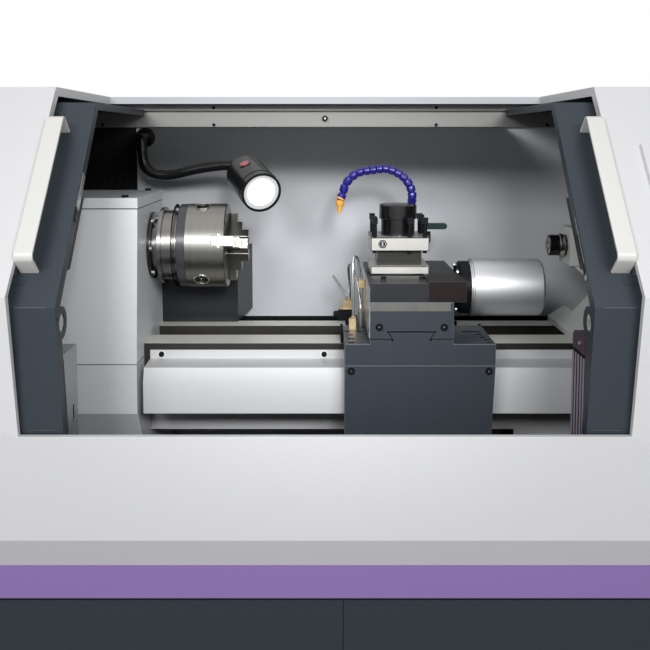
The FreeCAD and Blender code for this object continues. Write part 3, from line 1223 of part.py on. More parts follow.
def build_operator_panel():
    """Panel drawn upright: x across, z up the lean, -y out of it."""
    front = "-panel_thick"
    plate = prism("operator_panel", "XZ",
                  [rectangle("panel_left", "panel_right", "panel_low", "panel_high")], front, "0")
    cut(plate, "XZ", [rectangle("screen_left", "screen_right", "screen_low", "screen_high")],
        front, f"{front} + screen_sunk")
    keys = []
    for column in range(6):
        for row in range(6):
            left = f"key_left + {column} * key_pitch"
            low = f"key_low + {row} * key_pitch"
            keys.append(rectangle(left, f"{left} + key_side", low, f"{low} + key_side"))
    add(plate, "XZ", keys, f"{front} - key_proud", front)
    wells = [disc("stop_x", "button_row", "stop_stem + 0.5"), disc("knob_x", "button_row", "stop_stem + 0.5"),
             disc("dial_x", "button_row", "stop_stem + 0.5")]
    cut(plate, "XZ", wells, front, f"{front} + button_well")
    node(on_lean(plate), "operator_panel")

    def pushed(name, x, radius, height, lift):
        cap = prism(name, "XZ", [disc(x, "button_row", radius)],
                    f"{front} - {lift} - ({height})", f"{front} - {lift}")
        add(cap, "XZ", [disc(x, "button_row", "stop_stem")], f"{front} - {lift}", f"{front} + 1")
        return cap

    node(on_lean(pushed("emergency_stop", "stop_x", "stop_radius", "stop_height", "button_lift")),
         "emergency_stop")
    node(on_lean(pushed("feed_knob", "knob_x", "knob_radius", "knob_height", "1")), "feed_knob")
    dial = pushed("hand_dial", "dial_x", "dial_radius", "dial_height", "1")
    add(dial, "XZ", [disc("dial_x", "button_row + dial_radius - 12", "6")],
        f"{front} - 1 - dial_height - 16", f"{front} - 1 - dial_height")
    node(on_lean(dial), "hand_dial")


# ---------------------------------------------------------------- build, check, write

build_base()
build_panels()
build_rails()
build_rear()
for door_side, door_sign in (("left", -1), ("right", 1)):
    build_door(door_side, door_sign)
    build_handle(door_side, door_sign)
build_door_edges()
build_bed()
build_headstock()
build_spindle()
build_feed_screw()
build_saddle()
build_oil_lines()
build_cross_slide()
build_tool_post()
build_coolant()
build_tailstock()
build_lamp()
build_operator_panel()
doc.recompute()

for item in doc.Objects:
    if "Invalid" in item.State or "Error" in item.State:
        raise RuntimeError(f"{item.Name} ({item.Label}) failed: {item.State}")
for item in nodes:
    if item.Shape.isNull() or not item.Shape.isValid():
        raise RuntimeError(f"{item.Label} has no valid shape")
for item in nodes:
    item.Shape.exportStep(f"parts/{item.Label}.step")
print(f"{len(nodes)} sub-parts written")
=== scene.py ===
"""Surface finishes, small fittings, light and camera for the cabinet turning lathe."""

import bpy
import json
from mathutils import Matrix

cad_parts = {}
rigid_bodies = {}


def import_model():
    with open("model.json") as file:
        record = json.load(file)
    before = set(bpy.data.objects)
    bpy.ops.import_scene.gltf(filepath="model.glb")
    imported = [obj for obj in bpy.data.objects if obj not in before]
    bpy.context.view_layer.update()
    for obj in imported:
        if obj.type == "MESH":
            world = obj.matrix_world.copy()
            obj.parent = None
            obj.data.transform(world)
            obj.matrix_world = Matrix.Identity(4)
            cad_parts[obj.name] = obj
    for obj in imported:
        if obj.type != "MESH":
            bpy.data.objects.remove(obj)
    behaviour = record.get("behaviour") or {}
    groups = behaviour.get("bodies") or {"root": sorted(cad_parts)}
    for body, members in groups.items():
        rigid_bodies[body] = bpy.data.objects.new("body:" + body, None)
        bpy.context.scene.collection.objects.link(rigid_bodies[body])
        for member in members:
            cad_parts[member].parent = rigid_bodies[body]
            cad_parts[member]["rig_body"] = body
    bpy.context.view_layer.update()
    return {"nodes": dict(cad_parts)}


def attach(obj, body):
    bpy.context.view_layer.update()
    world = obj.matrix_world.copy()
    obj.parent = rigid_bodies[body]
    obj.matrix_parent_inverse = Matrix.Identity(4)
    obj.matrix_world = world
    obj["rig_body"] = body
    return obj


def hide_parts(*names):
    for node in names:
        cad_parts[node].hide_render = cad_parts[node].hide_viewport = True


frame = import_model()

import json
import logging
import math
from dataclasses import dataclass
from enum import Enum

import bmesh
import bpy
from mathutils import Matrix, Vector

LOG = logging.getLogger("turning_lathe")
MM = 0.001
SPINDLE_Y, SPINDLE_Z = -35.0, 1080.0
Point = tuple[float, float, float] | Vector
Pair = tuple[float, float]
Colour = tuple[int, int, int]
Aimed = tuple[Point, Point]
LEFT_WAY, RIGHT_WAY, FRONT_WAY, REAR_WAY, UP_WAY = (-1, 0, 0), (1, 0, 0), (0, -1, 0), (0, 1, 0), (0, 0, 1)


# ------------------------------------------------------------------ finishes

class Grain(Enum):
    """Kinds of fine surface relief."""

    PEEL = "fine orange peel of powder coat"
    ALONG_X = "grinding lines along X"
    ALONG_Z = "upright grinding lines"
    TURNED = "rings round the spindle axis"
    CAST = "rough casting skin"
    PLAIN = "smooth moulding"


@dataclass(frozen=True)
class Finish:
    """One surface finish.

    Colours are display values from 0 to 255.
    """

    name: str
    colour: Colour
    rough: float
    metal: float = 0.0
    grain: Grain = Grain.PEEL
    pitch: float = 900.0
    relief: float = 0.12
    mottle: float = 0.03
    coat: float = 0.0
    glow: float = 0.0
    clear: float = 0.0
    dust: float = 0.0
    streak: float = 0.0

    def glare(self) -> float:
        """Give the strength of plain reflections, which dark paints hold back."""
        lightest = max(self.colour)
        return 0.5 if lightest >= 110 else 0.2 if lightest >= 46 else 0.08


def even(name: str, colour: Colour, rough: float, mottle: float = 0.02, relief: float = 0.02,
         **extra: float) -> Finish:
    """Give the finish of an even surface without grain.

    Args:
        name: the finish's name.
        colour: display colour.
        rough: roughness.
        mottle: strength of the soft patches.
        relief: strength of the fine relief.
        extra: other values of the finish.

    Returns:
        The finish.
    """
    return Finish(name, colour, rough, grain=Grain.PLAIN, pitch=300, mottle=mottle, relief=relief, **extra)


CABINET_WHITE = Finish("cabinet_white", (222, 222, 224), 0.45, relief=0.05, coat=0.1, mottle=0.015)
WALL_GREY = Finish("wall_grey", (206, 209, 214), 0.5, relief=0.05)
STRIPE_LILAC = Finish("stripe_lilac", (139, 112, 174), 0.45, relief=0.05, mottle=0.02)
BASE_SLATE = Finish("base_slate", (49, 55, 63), 0.48, relief=0.06)
DOOR_GREY = Finish("door_grey", (60, 67, 74), 0.42, relief=0.08, mottle=0.05)
# Lighter copy of the door paint for thin lines at the door's bends: painted highlight.
DOOR_EDGE_HIGHLIGHT = Finish("door_edge_highlight", (96, 103, 108), 0.4, relief=0.05)
HANDLE_CREAM = Finish("handle_cream", (223, 223, 219), 0.4, relief=0.03, coat=0.2, mottle=0.02)
HEAD_ENAMEL = Finish("head_enamel", (224, 226, 230), 0.4, relief=0.07, coat=0.2, mottle=0.04)
# Dark grey guard paint, set as dark as the guard's shaded front under the chuck: partly painted shade.
GUARD_SLATE_SHADED = Finish("guard_slate_shaded", (38, 40, 43), 0.42, relief=0.06, coat=0.2, mottle=0.05)
MACHINE_ENAMEL = Finish("machine_enamel", (54, 61, 68), 0.42, relief=0.1, coat=0.15, mottle=0.08)
# Lighter copy of the machine enamel on rounded edges: painted highlight.
MACHINE_EDGE_HIGHLIGHT = Finish("machine_edge_highlight", (104, 112, 118), 0.42, relief=0.05, mottle=0.1)
BED_WHITE = Finish("bed_white", (202, 203, 205), 0.42, relief=0.05, mottle=0.02)
# Near-black tray under the bed, as dark as the shade there: partly painted shade.
TRAY_SHADE_BLACK = Finish("tray_shade_black", (14, 14, 17), 0.6, relief=0.1, dust=0.04)
TAIL_ENAMEL = Finish("tail_enamel", (204, 208, 202), 0.42, relief=0.08, coat=0.15, mottle=0.06)
LAMP_BLACK = Finish("lamp_black", (22, 23, 25), 0.36, relief=0.04, coat=0.5)
BLACK_RUBBER = Finish("black_rubber", (22, 23, 24), 0.7, grain=Grain.CAST, relief=0.05, mottle=0.05)
ZINC = Finish("zinc", (160, 167, 170), 0.36, 0.75, Grain.ALONG_X, 240, 0.03, 0.12, streak=0.12)
RAIL_ZINC = Finish("rail_zinc", (128, 128, 126), 0.45, 0.55, Grain.ALONG_X, 160, 0.03, 0.05, streak=0.1)
# Light copy of the way steel for the ways' up-facing tops: painted highlight.
WAY_TOP_LIT = Finish("way_top_lit", (224, 223, 216), 0.36, 0.1, Grain.ALONG_X, 420, 0.04, 0.04, streak=0.16)
WAY_SIDE = Finish("way_side", (62, 61, 59), 0.4, 0.55, Grain.ALONG_X, 300, 0.06, 0.08, streak=0.25)
GROUND_STEEL = Finish("ground_steel", (178, 178, 176), 0.3, 0.9, Grain.ALONG_X, 420, 0.04, 0.05, streak=0.14)
TURNED_STEEL = Finish("turned_steel", (132, 131, 126), 0.32, 1.0, Grain.TURNED, 900, 0.05, 0.02, streak=0.12)
NOSE_STEEL = Finish("nose_steel", (126, 125, 123), 0.26, 1.0, Grain.TURNED, 900, 0.04, 0.0, streak=0.06)
ADAPTER_SLATE = Finish("adapter_slate", (66, 68, 72), 0.34, 0.3, Grain.TURNED, 700, 0.03, 0.04, coat=0.3)
CREAM_STEEL = Finish("cream_steel", (198, 197, 191), 0.36, 0.35, Grain.ALONG_X, 500, 0.03, 0.03, streak=0.07)
# Dark copy of the holder steel for the core set back between the plates: painted shade in the tool slots.
CORE_SHADE_STEEL = Finish("core_shade_steel", (58, 58, 56), 0.36, 0.5, Grain.ALONG_X, 420, 0.05, 0.1, streak=0.3)
STRIP_STEEL = Finish("strip_steel", (112, 112, 109), 0.34, 0.4, Grain.ALONG_Z, 420, 0.04, 0.06, streak=0.2)
BLOCK_CHAR = Finish("block_char", (44, 45, 48), 0.42, 0.1, Grain.ALONG_X, 260, 0.05, 0.08, streak=0.12)
GEAR_BROWN = Finish("gear_brown", (38, 33, 32), 0.42, 0.1, Grain.ALONG_X, 200, 0.06, 0.15, streak=0.3)
JAW_STEEL = Finish("jaw_steel", (112, 111, 106), 0.3, 1.0, Grain.PLAIN, 500, 0.03, 0.1)
EDGE_STEEL = Finish("edge_steel", (212, 211, 206), 0.22, 1.0, Grain.PLAIN, 500, 0.02, 0.05)
SATIN_ALUMINIUM = Finish("satin_aluminium", (206, 207, 210), 0.48, 0.8, Grain.PLAIN, 500, 0.04, 0.02)
SHEET_BRIGHT = even("sheet_bright", (188, 190, 190), 0.3, 0.35, 0.05, metal=0.7, streak=0.2)
BLACK_STEEL = even("black_steel", (27, 28, 30), 0.4, 0.08, 0.03, metal=0.1)
CAP_BLACK = even("cap_black", (54, 54, 56), 0.24, 0.05, metal=0.85, coat=0.3)
BRIGHT_SCREW = even("bright_screw", (190, 191, 193), 0.3, 0.04, metal=1.0)
PIPE_SILVER = even("pipe_silver", (232, 233, 231), 0.2, 0.05, metal=1.0)
LIGHT_BRASS = even("light_brass", (206, 184, 144), 0.34, 0.14, 0.04, metal=0.55)
HOSE_NAVY = even("hose_navy", (34, 30, 132), 0.3, 0.03, coat=0.2)
NOZZLE_ORANGE = even("nozzle_orange", (244, 178, 76), 0.38, 0.03)
LEVER_GREEN = even("lever_green", (24, 52, 46), 0.35, 0.03, coat=0.2)
KEY_GREY = even("key_grey", (178, 181, 186), 0.5)
KEY_BLUE = even("key_blue", (70, 104, 158), 0.5)
KEY_GREEN = even("key_green", (62, 140, 92), 0.45)
RED_PLASTIC = even("red_plastic", (186, 24, 28), 0.3, coat=0.3)
SWITCH_RED = even("switch_red", (190, 72, 76), 0.35, 0.3, coat=0.3)
YELLOW_PLASTIC = even("yellow_plastic", (222, 180, 40), 0.42)
BLACK_PLASTIC = even("black_plastic", (30, 31, 33), 0.42, 0.03)
SEAL_GREY = even("seal_grey", (150, 142, 152), 0.45, 0.04)
MAROON_CAP = even("maroon_cap", (82, 66, 78), 0.45, 0.04)
# Dark lines and slots in seams, joints and louvres: painted shade in the gaps.
SEAM_SHADE = even("seam_shade", (70, 72, 76), 0.6, 0.05, 0.0)
GAP_BLACK = even("gap_black", (12, 13, 18), 0.6, 0.05, 0.0)
SCREEN_DARK = even("screen_dark", (18, 24, 30), 0.12, 0.0, 0.0, coat=0.6)
SCREEN_LINE = even("screen_line", (70, 150, 150), 0.3, 0.0, 0.0, glow=0.25)
WINDOW_GLASS = even("window_glass", (206, 212, 214), 0.06, 0.0, 0.0, clear=0.9)
LAMP_GLOW = even("lamp_glow", (255, 252, 246), 0.3, 0.0, 0.0, glow=1.6)
LAMP_RING = even("lamp_ring", (196, 198, 200), 0.3, 0.02, 0.0, metal=0.2, glow=0.35)


def linear(colour: Colour) -> tuple[float, float, float, float]:
    """Turn a display colour into the scene's linear one.

    Args:
        colour: red, green and blue from 0 to 255.

    Returns:
        Linear red, green, blue and an alpha of one.
    """
    def channel(number: int) -> float:
        """Turn one channel into its linear value."""
        share = number / 255
        return share / 12.92 if share <= 0.04045 else ((share + 0.055) / 1.055) ** 2.4

    return (*map(channel, colour), 1.0)


# ------------------------------------------------------------------ node trees

class Wiring:
    """Short way to add and join the nodes of one tree."""

    def __init__(self, tree: bpy.types.NodeTree) -> None:
        """Keep the tree that the nodes go in."""
        self.tree = tree

    def add(self, kind: str, links: dict[str | int, object] | None = None,
            **settings: object) -> bpy.types.Node:
        """Add a node.

        Args:
            kind: Blender's type name of the node.
            links: input name or number, to a socket to join or a value to set.
            settings: attributes of the node.

        Returns:
            The new node.
        """
        node = self.tree.nodes.new(kind)
        for key, setting in settings.items():
            setattr(node, key, setting)
        for key, source in (links or {}).items():
            if isinstance(source, bpy.types.NodeSocket):
                self.tree.links.new(source, node.inputs[key])
            else:
                node.inputs[key].default_value = source
        return node

    def calc(self, operation: str, first: object, second: object) -> bpy.types.NodeSocket:
        """Work on two numbers, each a socket or a value, and give the result."""
        return self.add("ShaderNodeMath", {0: first, 1: second}, operation=operation).outputs[0]

    def noise(self, place: bpy.types.NodeSocket, scale: object, detail: float) -> bpy.types.NodeSocket:
        """Read a soft random pattern at a place."""
        cloud = self.add("ShaderNodeTexNoise", {"Vector": place, "Scale": scale, "Detail": detail})
        return cloud.outputs["Fac"]


class Group(Wiring):
    """A node group with named inputs and outputs."""

    SOCKETS = {tuple: "NodeSocketColor", float: "NodeSocketFloat", int: "NodeSocketInt"}

    def __init__(self, name: str, inputs: dict[str, object], outputs: dict[str, str],
                 kind: str = "ShaderNodeTree") -> None:
        """Start the group.

        Args:
            name: the group's name.
            inputs: input name to its default value, or to its socket type.
            outputs: output name to its socket type.
            kind: Blender's type name of the tree.
        """
        super().__init__(bpy.data.node_groups.new(name, kind))
        for label, default in inputs.items():
            plain = isinstance(default, str)
            socket_type = default if plain else self.SOCKETS[type(default)]
            socket = self.tree.interface.new_socket(label, in_out="INPUT", socket_type=socket_type)
            if not plain:
                socket.default_value = default
        for label, socket_type in outputs.items():
            self.tree.interface.new_socket(label, in_out="OUTPUT", socket_type=socket_type)
        self.start = self.add("NodeGroupInput")
        self.end = self.add("NodeGroupOutput")

    def given(self, label: str) -> bpy.types.NodeSocket:
        """Give the socket of a named input."""
        return self.start.outputs[label]

    def give(self, label: str, source: bpy.types.NodeSocket) -> None:
        """Join a result to a named output."""
        self.tree.links.new(source, self.end.inputs[label])


def mottle_group() -> Group:
    """Shift a colour a little lighter and darker in soft patches and streaks, and the roughness with it."""
    group = Group(
        "soft_mottle",
        {"Colour": (0.5, 0.5, 0.5, 1), "Amount": 0.03, "Roughness": 0.4, "Streak": 0.5, "Streak amount": 0.0},
        {"Colour": "NodeSocketColor", "Roughness": "NodeSocketFloat"},
    )
    place = group.add("ShaderNodeTexCoord").outputs["Object"]
    coarse, fine = group.noise(place, scale=4.0, detail=5.0), group.noise(place, scale=46.0, detail=4.0)
    patches = group.calc("ADD", coarse, fine)
    swing = group.calc("MULTIPLY", group.calc("SUBTRACT", patches, 1.0), group.given("Amount"))
    line = group.calc("SUBTRACT", group.given("Streak"), 0.5)
    shift = group.calc("ADD", group.calc("MULTIPLY", line, group.given("Streak amount")), swing)
    factor = group.calc("ADD", shift, 1.0)
    tinted = group.add("ShaderNodeVectorMath", {0: group.given("Colour"), 3: factor}, operation="SCALE")
    group.give("Colour", tinted.outputs[0])
    group.give("Roughness", group.calc("ADD", shift, group.given("Roughness")))
    return group


def dust_group() -> Group:
    """Lay a pale film on surfaces that face up."""
    group = Group(
        "settled_dust", {"Colour": (0.5, 0.5, 0.5, 1), "Amount": 0.1},
        {"Colour": "NodeSocketColor", "Mask": "NodeSocketFloat"},
    )
    normal = group.add("ShaderNodeNewGeometry").outputs["Normal"]
    level = group.add("ShaderNodeSeparateXYZ", {0: normal}).outputs[2]
    place = group.add("ShaderNodeTexCoord").outputs["Object"]
    upward = group.add("ShaderNodeMapRange", {"Value": level, "From Min": 0.35}).outputs[0]
    patchy = group.calc("MULTIPLY", upward, group.noise(place, scale=18.0, detail=6.0))
    mask = group.calc("MULTIPLY", patchy, group.given("Amount"))
    film = (0.42, 0.41, 0.39, 1)
    mixed = group.add("ShaderNodeMix", {0: mask, 6: group.given("Colour"), 7: film}, data_type="RGBA")
    group.give("Colour", mixed.outputs[2])
    group.give("Mask", mask)
    return group


def relief_group(grain: Grain) -> Group:
    """Give the height of one kind of surface grain.

    Args:
        grain: the kind of grain.

    Returns:
        A group with a pitch, and a height and a streak value from 0 to 1.
    """
    group = Group(f"grain_{grain.name.lower()}", {"Pitch": 600.0},
                  {"Height": "NodeSocketFloat", "Streak": "NodeSocketFloat"})
    place = group.add("ShaderNodeTexCoord").outputs["Object"]
    if grain is Grain.TURNED:
        parts = group.add("ShaderNodeSeparateXYZ", {0: place}).outputs
        side = group.calc("ADD", parts[1], -SPINDLE_Y * MM)
        rise = group.calc("ADD", parts[2], -SPINDLE_Z * MM)
        flat = group.add("ShaderNodeCombineXYZ", {1: side, 2: rise}).outputs[0]
        radius = group.add("ShaderNodeVectorMath", {0: flat}, operation="LENGTH").outputs[1]
        vector = group.add("ShaderNodeCombineXYZ", {0: parts[0], 1: radius}).outputs[0]
    else:
        drawn = {Grain.ALONG_X: (0.02, 1.0, 1.0), Grain.ALONG_Z: (1.0, 1.0, 0.02)}
        stretch = drawn.get(grain, (1.0, 1.0, 1.0))
        vector = group.add("ShaderNodeMapping", {"Vector": place, "Scale": stretch}).outputs[0]
    pitch = group.given("Pitch")
    group.give("Height", group.noise(vector, pitch, detail=3.0))
    group.give("Streak", group.noise(vector, group.calc("MULTIPLY", pitch, 0.12), detail=2.0))
    return group


class PaintShop:
    """Makes one material of each finish, once."""

    def __init__(self) -> None:
        """Build the effects that materials share."""
        self.mottle = mottle_group()
        self.dust = dust_group()
        self.reliefs = {grain: relief_group(grain) for grain in Grain}
        self.ready: dict[str, bpy.types.Material] = {}

    def material(self, finish: Finish) -> bpy.types.Material:
        """Give the material of a finish, made on first use.

        Args:
            finish: the finish wanted.

        Returns:
            Its material.
        """
        if finish.name not in self.ready:
            material = bpy.data.materials.new(finish.name)
            material.use_nodes = True
            material.node_tree.nodes.clear()
            self.ready[finish.name] = material
            self.wire(Wiring(material.node_tree), finish)
        return self.ready[finish.name]

    def wire(self, wiring: Wiring, finish: Finish) -> None:
        """Build a material's nodes.

        Args:
            wiring: the material's empty tree.
            finish: the finish wanted.
        """
        colour = linear(finish.colour)
        constants: dict[str, object] = {
            "Base Color": colour, "Roughness": finish.rough, "Metallic": finish.metal, "IOR": 1.48,
            "Specular IOR Level": finish.glare(), "Coat Weight": finish.coat, "Coat Roughness": 0.2,
        }
        if finish.glow:
            constants |= {"Emission Color": colour, "Emission Strength": finish.glow}
        if finish.clear:
            constants["Transmission Weight"] = finish.clear
        effects: dict[str, bpy.types.NodeSocket] = {}
        grain = wiring.add("ShaderNodeGroup", {"Pitch": finish.pitch},
                           node_tree=self.reliefs[finish.grain].tree)
        if finish.mottle or finish.streak:
            patches = wiring.add("ShaderNodeGroup", {
                "Colour": colour, "Amount": finish.mottle, "Roughness": finish.rough,
                "Streak amount": finish.streak, "Streak": grain.outputs["Streak"],
            }, node_tree=self.mottle.tree)
            effects["Roughness"] = patches.outputs["Roughness"]
            effects["Base Color"] = patches.outputs["Colour"]
        if finish.dust:
            film = wiring.add("ShaderNodeGroup", {
                "Colour": effects.get("Base Color", colour), "Amount": finish.dust}, node_tree=self.dust.tree)
            effects["Base Color"] = film.outputs["Colour"]
        if finish.relief:
            effects["Normal"] = wiring.add("ShaderNodeBump", {
                "Strength": finish.relief, "Distance": 0.0004, "Height": grain.outputs["Height"]}).outputs[0]
        skin = wiring.add("ShaderNodeBsdfPrincipled", constants)
        for label, source in effects.items():
            wiring.tree.links.new(source, skin.inputs[label])
        wiring.add("ShaderNodeOutputMaterial", {"Surface": skin.outputs[0]})



SHOP = PaintShop()


# ------------------------------------------------------------------ making meshes

class Bench:
    """Collects plain solids, in millimetres, into one piece."""

    def __init__(self) -> None:
        """Start with nothing on the bench."""
        self.mesh = bmesh.new()

    def block(self, low: Point, high: Point, turn: Matrix | None = None) -> "Bench":
        """Add a box between two corners.

        Args:
            low: lowest corner.
            high: highest corner.
            turn: matrix, in millimetres, that carries the box from where it is drawn.

        Returns:
            The bench, for the next call.
        """
        centre = (Vector(low) + Vector(high)) / 2
        size = Vector(high) - Vector(low)
        matrix = Matrix.Translation(centre) @ Matrix.Diagonal((*size, 1))
        bmesh.ops.create_cube(self.mesh, size=1.0, matrix=(turn or Matrix()) @ matrix)
        return self

    def rod(self, start: Point, end: Point, radius: float, sides: int = 32) -> "Bench":
        """Add a round bar between two points.

        Args:
            start: centre of one end.
            end: centre of the other end.
            radius: the bar's radius.
            sides: number of flat sides.

        Returns:
            The bench, for the next call.
        """
        first, last = Vector(start), Vector(end)
        way = last - first
        aim = way.to_track_quat("Z", "Y").to_matrix().to_4x4()
        bmesh.ops.create_cone(
            self.mesh, cap_ends=True, segments=sides, radius1=radius, radius2=radius, depth=way.length,
            matrix=Matrix.Translation((first + last) / 2) @ aim)
        return self

    def ring(self, centre: Point, aim: Point, inner: float, outer: float, length: float,
             sides: int = 48) -> "Bench":
        """Add a washer-shaped ring.

        Args:
            centre: middle of its near face.
            aim: direction of its axis.
            inner: radius of the hole.
            outer: outside radius.
            length: length along the axis.
            sides: number of flat sides.

        Returns:
            The bench, for the next call.
        """
        turn = Vector(aim).to_track_quat("Z", "Y").to_matrix().to_4x4()
        place = Matrix.Translation(centre) @ turn
        rows = []
        for radius, rise in ((inner, 0.0), (outer, 0.0), (outer, length), (inner, length)):
            rows.append([
                self.mesh.verts.new(place @ Vector((
                    radius * math.cos(2 * math.pi * step / sides),
                    radius * math.sin(2 * math.pi * step / sides), rise)))
                for step in range(sides)])
        for row, above in zip(rows, rows[1:] + rows[:1]):
            self.wall(row, above)
        return self

    def slab(self, outline: list[Pair], low: float, high: float, place: Matrix) -> "Bench":
        """Add a flat outline with a thickness.

        Args:
            outline: points in the plane that the matrix carries.
            low: start of the thickness along the plane's normal.
            high: end of the thickness.
            place: matrix that carries the outline to the object.

        Returns:
            The bench, for the next call.
        """
        floor = [self.mesh.verts.new(place @ Vector((x, y, low))) for x, y in outline]
        roof = [self.mesh.verts.new(place @ Vector((x, y, high))) for x, y in outline]
        self.mesh.faces.new(reversed(floor))
        self.mesh.faces.new(roof)
        self.wall(floor, roof)
        return self

    def wall(self, lower: list[bmesh.types.BMVert], upper: list[bmesh.types.BMVert]) -> None:
        """Join two closed rows of corners with faces."""
        for step in range(len(lower)):
            after = (step + 1) % len(lower)
            self.mesh.faces.new((lower[step], lower[after], upper[after], upper[step]))

    def finish(self, name: str, finish: Finish, body: str, slot: str, bevel: float = 0.0) -> bpy.types.Object:
        """Turn what is on the bench into a piece that rides on a body.

        Args:
            name: the piece's name.
            finish: its surface finish.
            body: the CAD body that it moves with.
            slot: the record's material slot; not used.
            bevel: width of the rounded edges, in millimetres.

        Returns:
            The finished piece.
        """
        bmesh.ops.scale(self.mesh, vec=(MM, MM, MM), verts=self.mesh.verts)
        bmesh.ops.recalc_face_normals(self.mesh, faces=self.mesh.faces)
        mesh = bpy.data.meshes.new(name)
        self.mesh.to_mesh(mesh)
        self.mesh.free()
        return settle(name, mesh, finish, body, bevel)


@dataclass(frozen=True)
class Zone:
    """Box, in millimetres, whose faces take a finish of their own."""

    finish: Finish
    low: Point
    high: Point
    facing: Point | None = None

    def paint(self, mesh: bpy.types.Mesh) -> None:
        """Give the zone's faces their finish.

        Args:
            mesh: mesh in metres.
        """
        mesh.materials.append(SHOP.material(self.finish))
        low, high = Vector(self.low) * MM, Vector(self.high) * MM
        way = Vector(self.facing).normalized() if self.facing else None
        for face in mesh.polygons:
            inside = all(low[axis] <= face.center[axis] <= high[axis] for axis in range(3))
            if inside and (way is None or face.normal.dot(way) > 0.9):
                face.material_index = len(mesh.materials) - 1


@dataclass(frozen=True)
class Spin:
    """Axis, in millimetres, of a part that was turned on a lathe."""

    centre: Point
    way: Point = (1.0, 0.0, 0.0)

    def shade(self, mesh: bpy.types.Mesh) -> None:
        """Give turned faces the exact normals of their round surface.

        Args:
            mesh: mesh in metres.
        """
        centre, way = Vector(self.centre) * MM, Vector(self.way).normalized()

        def outwards(spot: Vector) -> Vector:
            """Point away from the axis at a spot."""
            offset = spot - centre
            return (offset - way * offset.dot(way)).normalized()

        normals = [corner.vector.copy() for corner in mesh.corner_normals]
        for face in mesh.polygons:
            radial = outwards(face.center)
            out, along = face.normal.dot(radial), face.normal.dot(way)
            if out * out + along * along < 0.99:
                continue
            for loop in face.loop_indices:
                spot = mesh.vertices[mesh.loops[loop].vertex_index].co
                normals[loop] = (outwards(spot) * out + way * along).normalized()
        mesh.normals_split_custom_set(normals)


SPINDLE_AXIS = Spin((0.0, SPINDLE_Y, SPINDLE_Z))


def stand(name: str, data: bpy.types.ID | None) -> bpy.types.Object:
    """Put an object of some data in the scene and give it."""
    thing = bpy.data.objects.new(name, data)
    bpy.context.scene.collection.objects.link(thing)
    return thing


def settle(name: str, mesh: bpy.types.Mesh, finish: Finish, body: str, bevel: float = 0.0,
           zones: tuple[Zone, ...] = (), edge: Finish | None = None,
           crease: float = 32.0) -> bpy.types.Object:
    """Make a finished piece of a mesh that is already in place.

    Args:
        name: the piece's name.
        mesh: its mesh, in metres.
        finish: its surface finish.
        body: the CAD body that it moves with.
        bevel: width of the rounded edges, in millimetres.
        zones: boxes with a finish of their own.
        edge: finish of the rounded edges, or None for the one beside them.
        crease: sharpest turn that is still shaded smooth, in degrees.

    Returns:
        The finished piece.
    """
    piece = stand(name, mesh)
    mesh.materials.clear()
    mesh.materials.append(SHOP.material(finish))
    for zone in zones:
        zone.paint(mesh)
    smooth(mesh, crease)
    if bevel:
        rounded = piece.modifiers.new("rounded_edges", "BEVEL")
        rounded.width = bevel * MM
        rounded.segments = 2
        rounded.limit_method = "ANGLE"
        rounded.angle_limit = math.radians(crease + 3)
        rounded.harden_normals = True
        if edge:
            mesh.materials.append(SHOP.material(edge))
            rounded.material = len(mesh.materials) - 1
    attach(piece, body)
    return piece


def smooth(mesh: bpy.types.Mesh, angle: float) -> None:
    """Shade a mesh smooth, with sharp edges past an angle.

    Args:
        mesh: the mesh.
        angle: sharpest turn that is still smooth, in degrees.
    """
    work = bmesh.new()
    work.from_mesh(mesh)
    for edge in work.edges:
        edge.smooth = len(edge.link_faces) == 2 and edge.calc_face_angle(3.0) < math.radians(angle)
    for face in work.faces:
        face.smooth = True
    work.to_mesh(mesh)
    work.free()


def dress(finish: Finish, *names: str) -> None:
    """Put a finish on CAD nodes whose shape is shown as it is.

    Args:
        finish: the surface finish.
        names: the nodes.
    """
    for name in names:
        mesh = frame["nodes"][name].data
        mesh.materials.clear()
        mesh.materials.append(SHOP.material(finish))


def soften(finish: Finish, bevel: float, *names: str, zones: tuple[Zone, ...] = (),
           splits: tuple[Aimed, ...] = (), edge: Finish | None = None, spin: Spin | None = None,
           sink: tuple[tuple[int, float, float], ...] = (), crease: float = 32.0) -> None:
    """Show merged copies of CAD nodes with rounded edges or with the exact shading of turned faces.

    Args:
        finish: the surface finish.
        bevel: width of the rounded edges, in millimetres, or 0.
        names: the nodes.
        zones: boxes with a finish of their own.
        splits: planes, as point and direction, that part flat faces between two finishes.
        edge: finish of the rounded edges, or None for the one beside them.
        spin: axis of a turned part, which then has no rounded edges.
        sink: axis number, level and new level, in millimetres, of an outer face set back under its fittings.
        crease: sharpest turn that is still shaded smooth, in degrees.
    """
    for name in names:
        source = frame["nodes"][name]
        work = bmesh.new()
        work.from_mesh(source.data)
        bmesh.ops.remove_doubles(work, verts=work.verts, dist=2e-6)
        if not spin:
            bmesh.ops.dissolve_limit(work, angle_limit=math.radians(0.6), verts=work.verts, edges=work.edges)
        for axis, level, target in sink:
            for vertex in work.verts:
                if vertex.co[axis] * level > 0 and abs(vertex.co[axis]) > abs(level) * MM:
                    vertex.co[axis] = target * MM
        for point, way in splits:
            bmesh.ops.bisect_plane(work, geom=work.verts[:] + work.edges[:] + work.faces[:], dist=1e-7,
                                   plane_co=Vector(point) * MM, plane_no=Vector(way))
        mesh = bpy.data.meshes.new(f"{name}_finished")
        work.to_mesh(mesh)
        work.free()
        piece = settle(f"{name}_finished", mesh, finish, source["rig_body"], bevel, zones, edge,
                       crease)
        if spin:
            spin.shade(mesh)
        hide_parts(name)


# ------------------------------------------------------------------ repeats

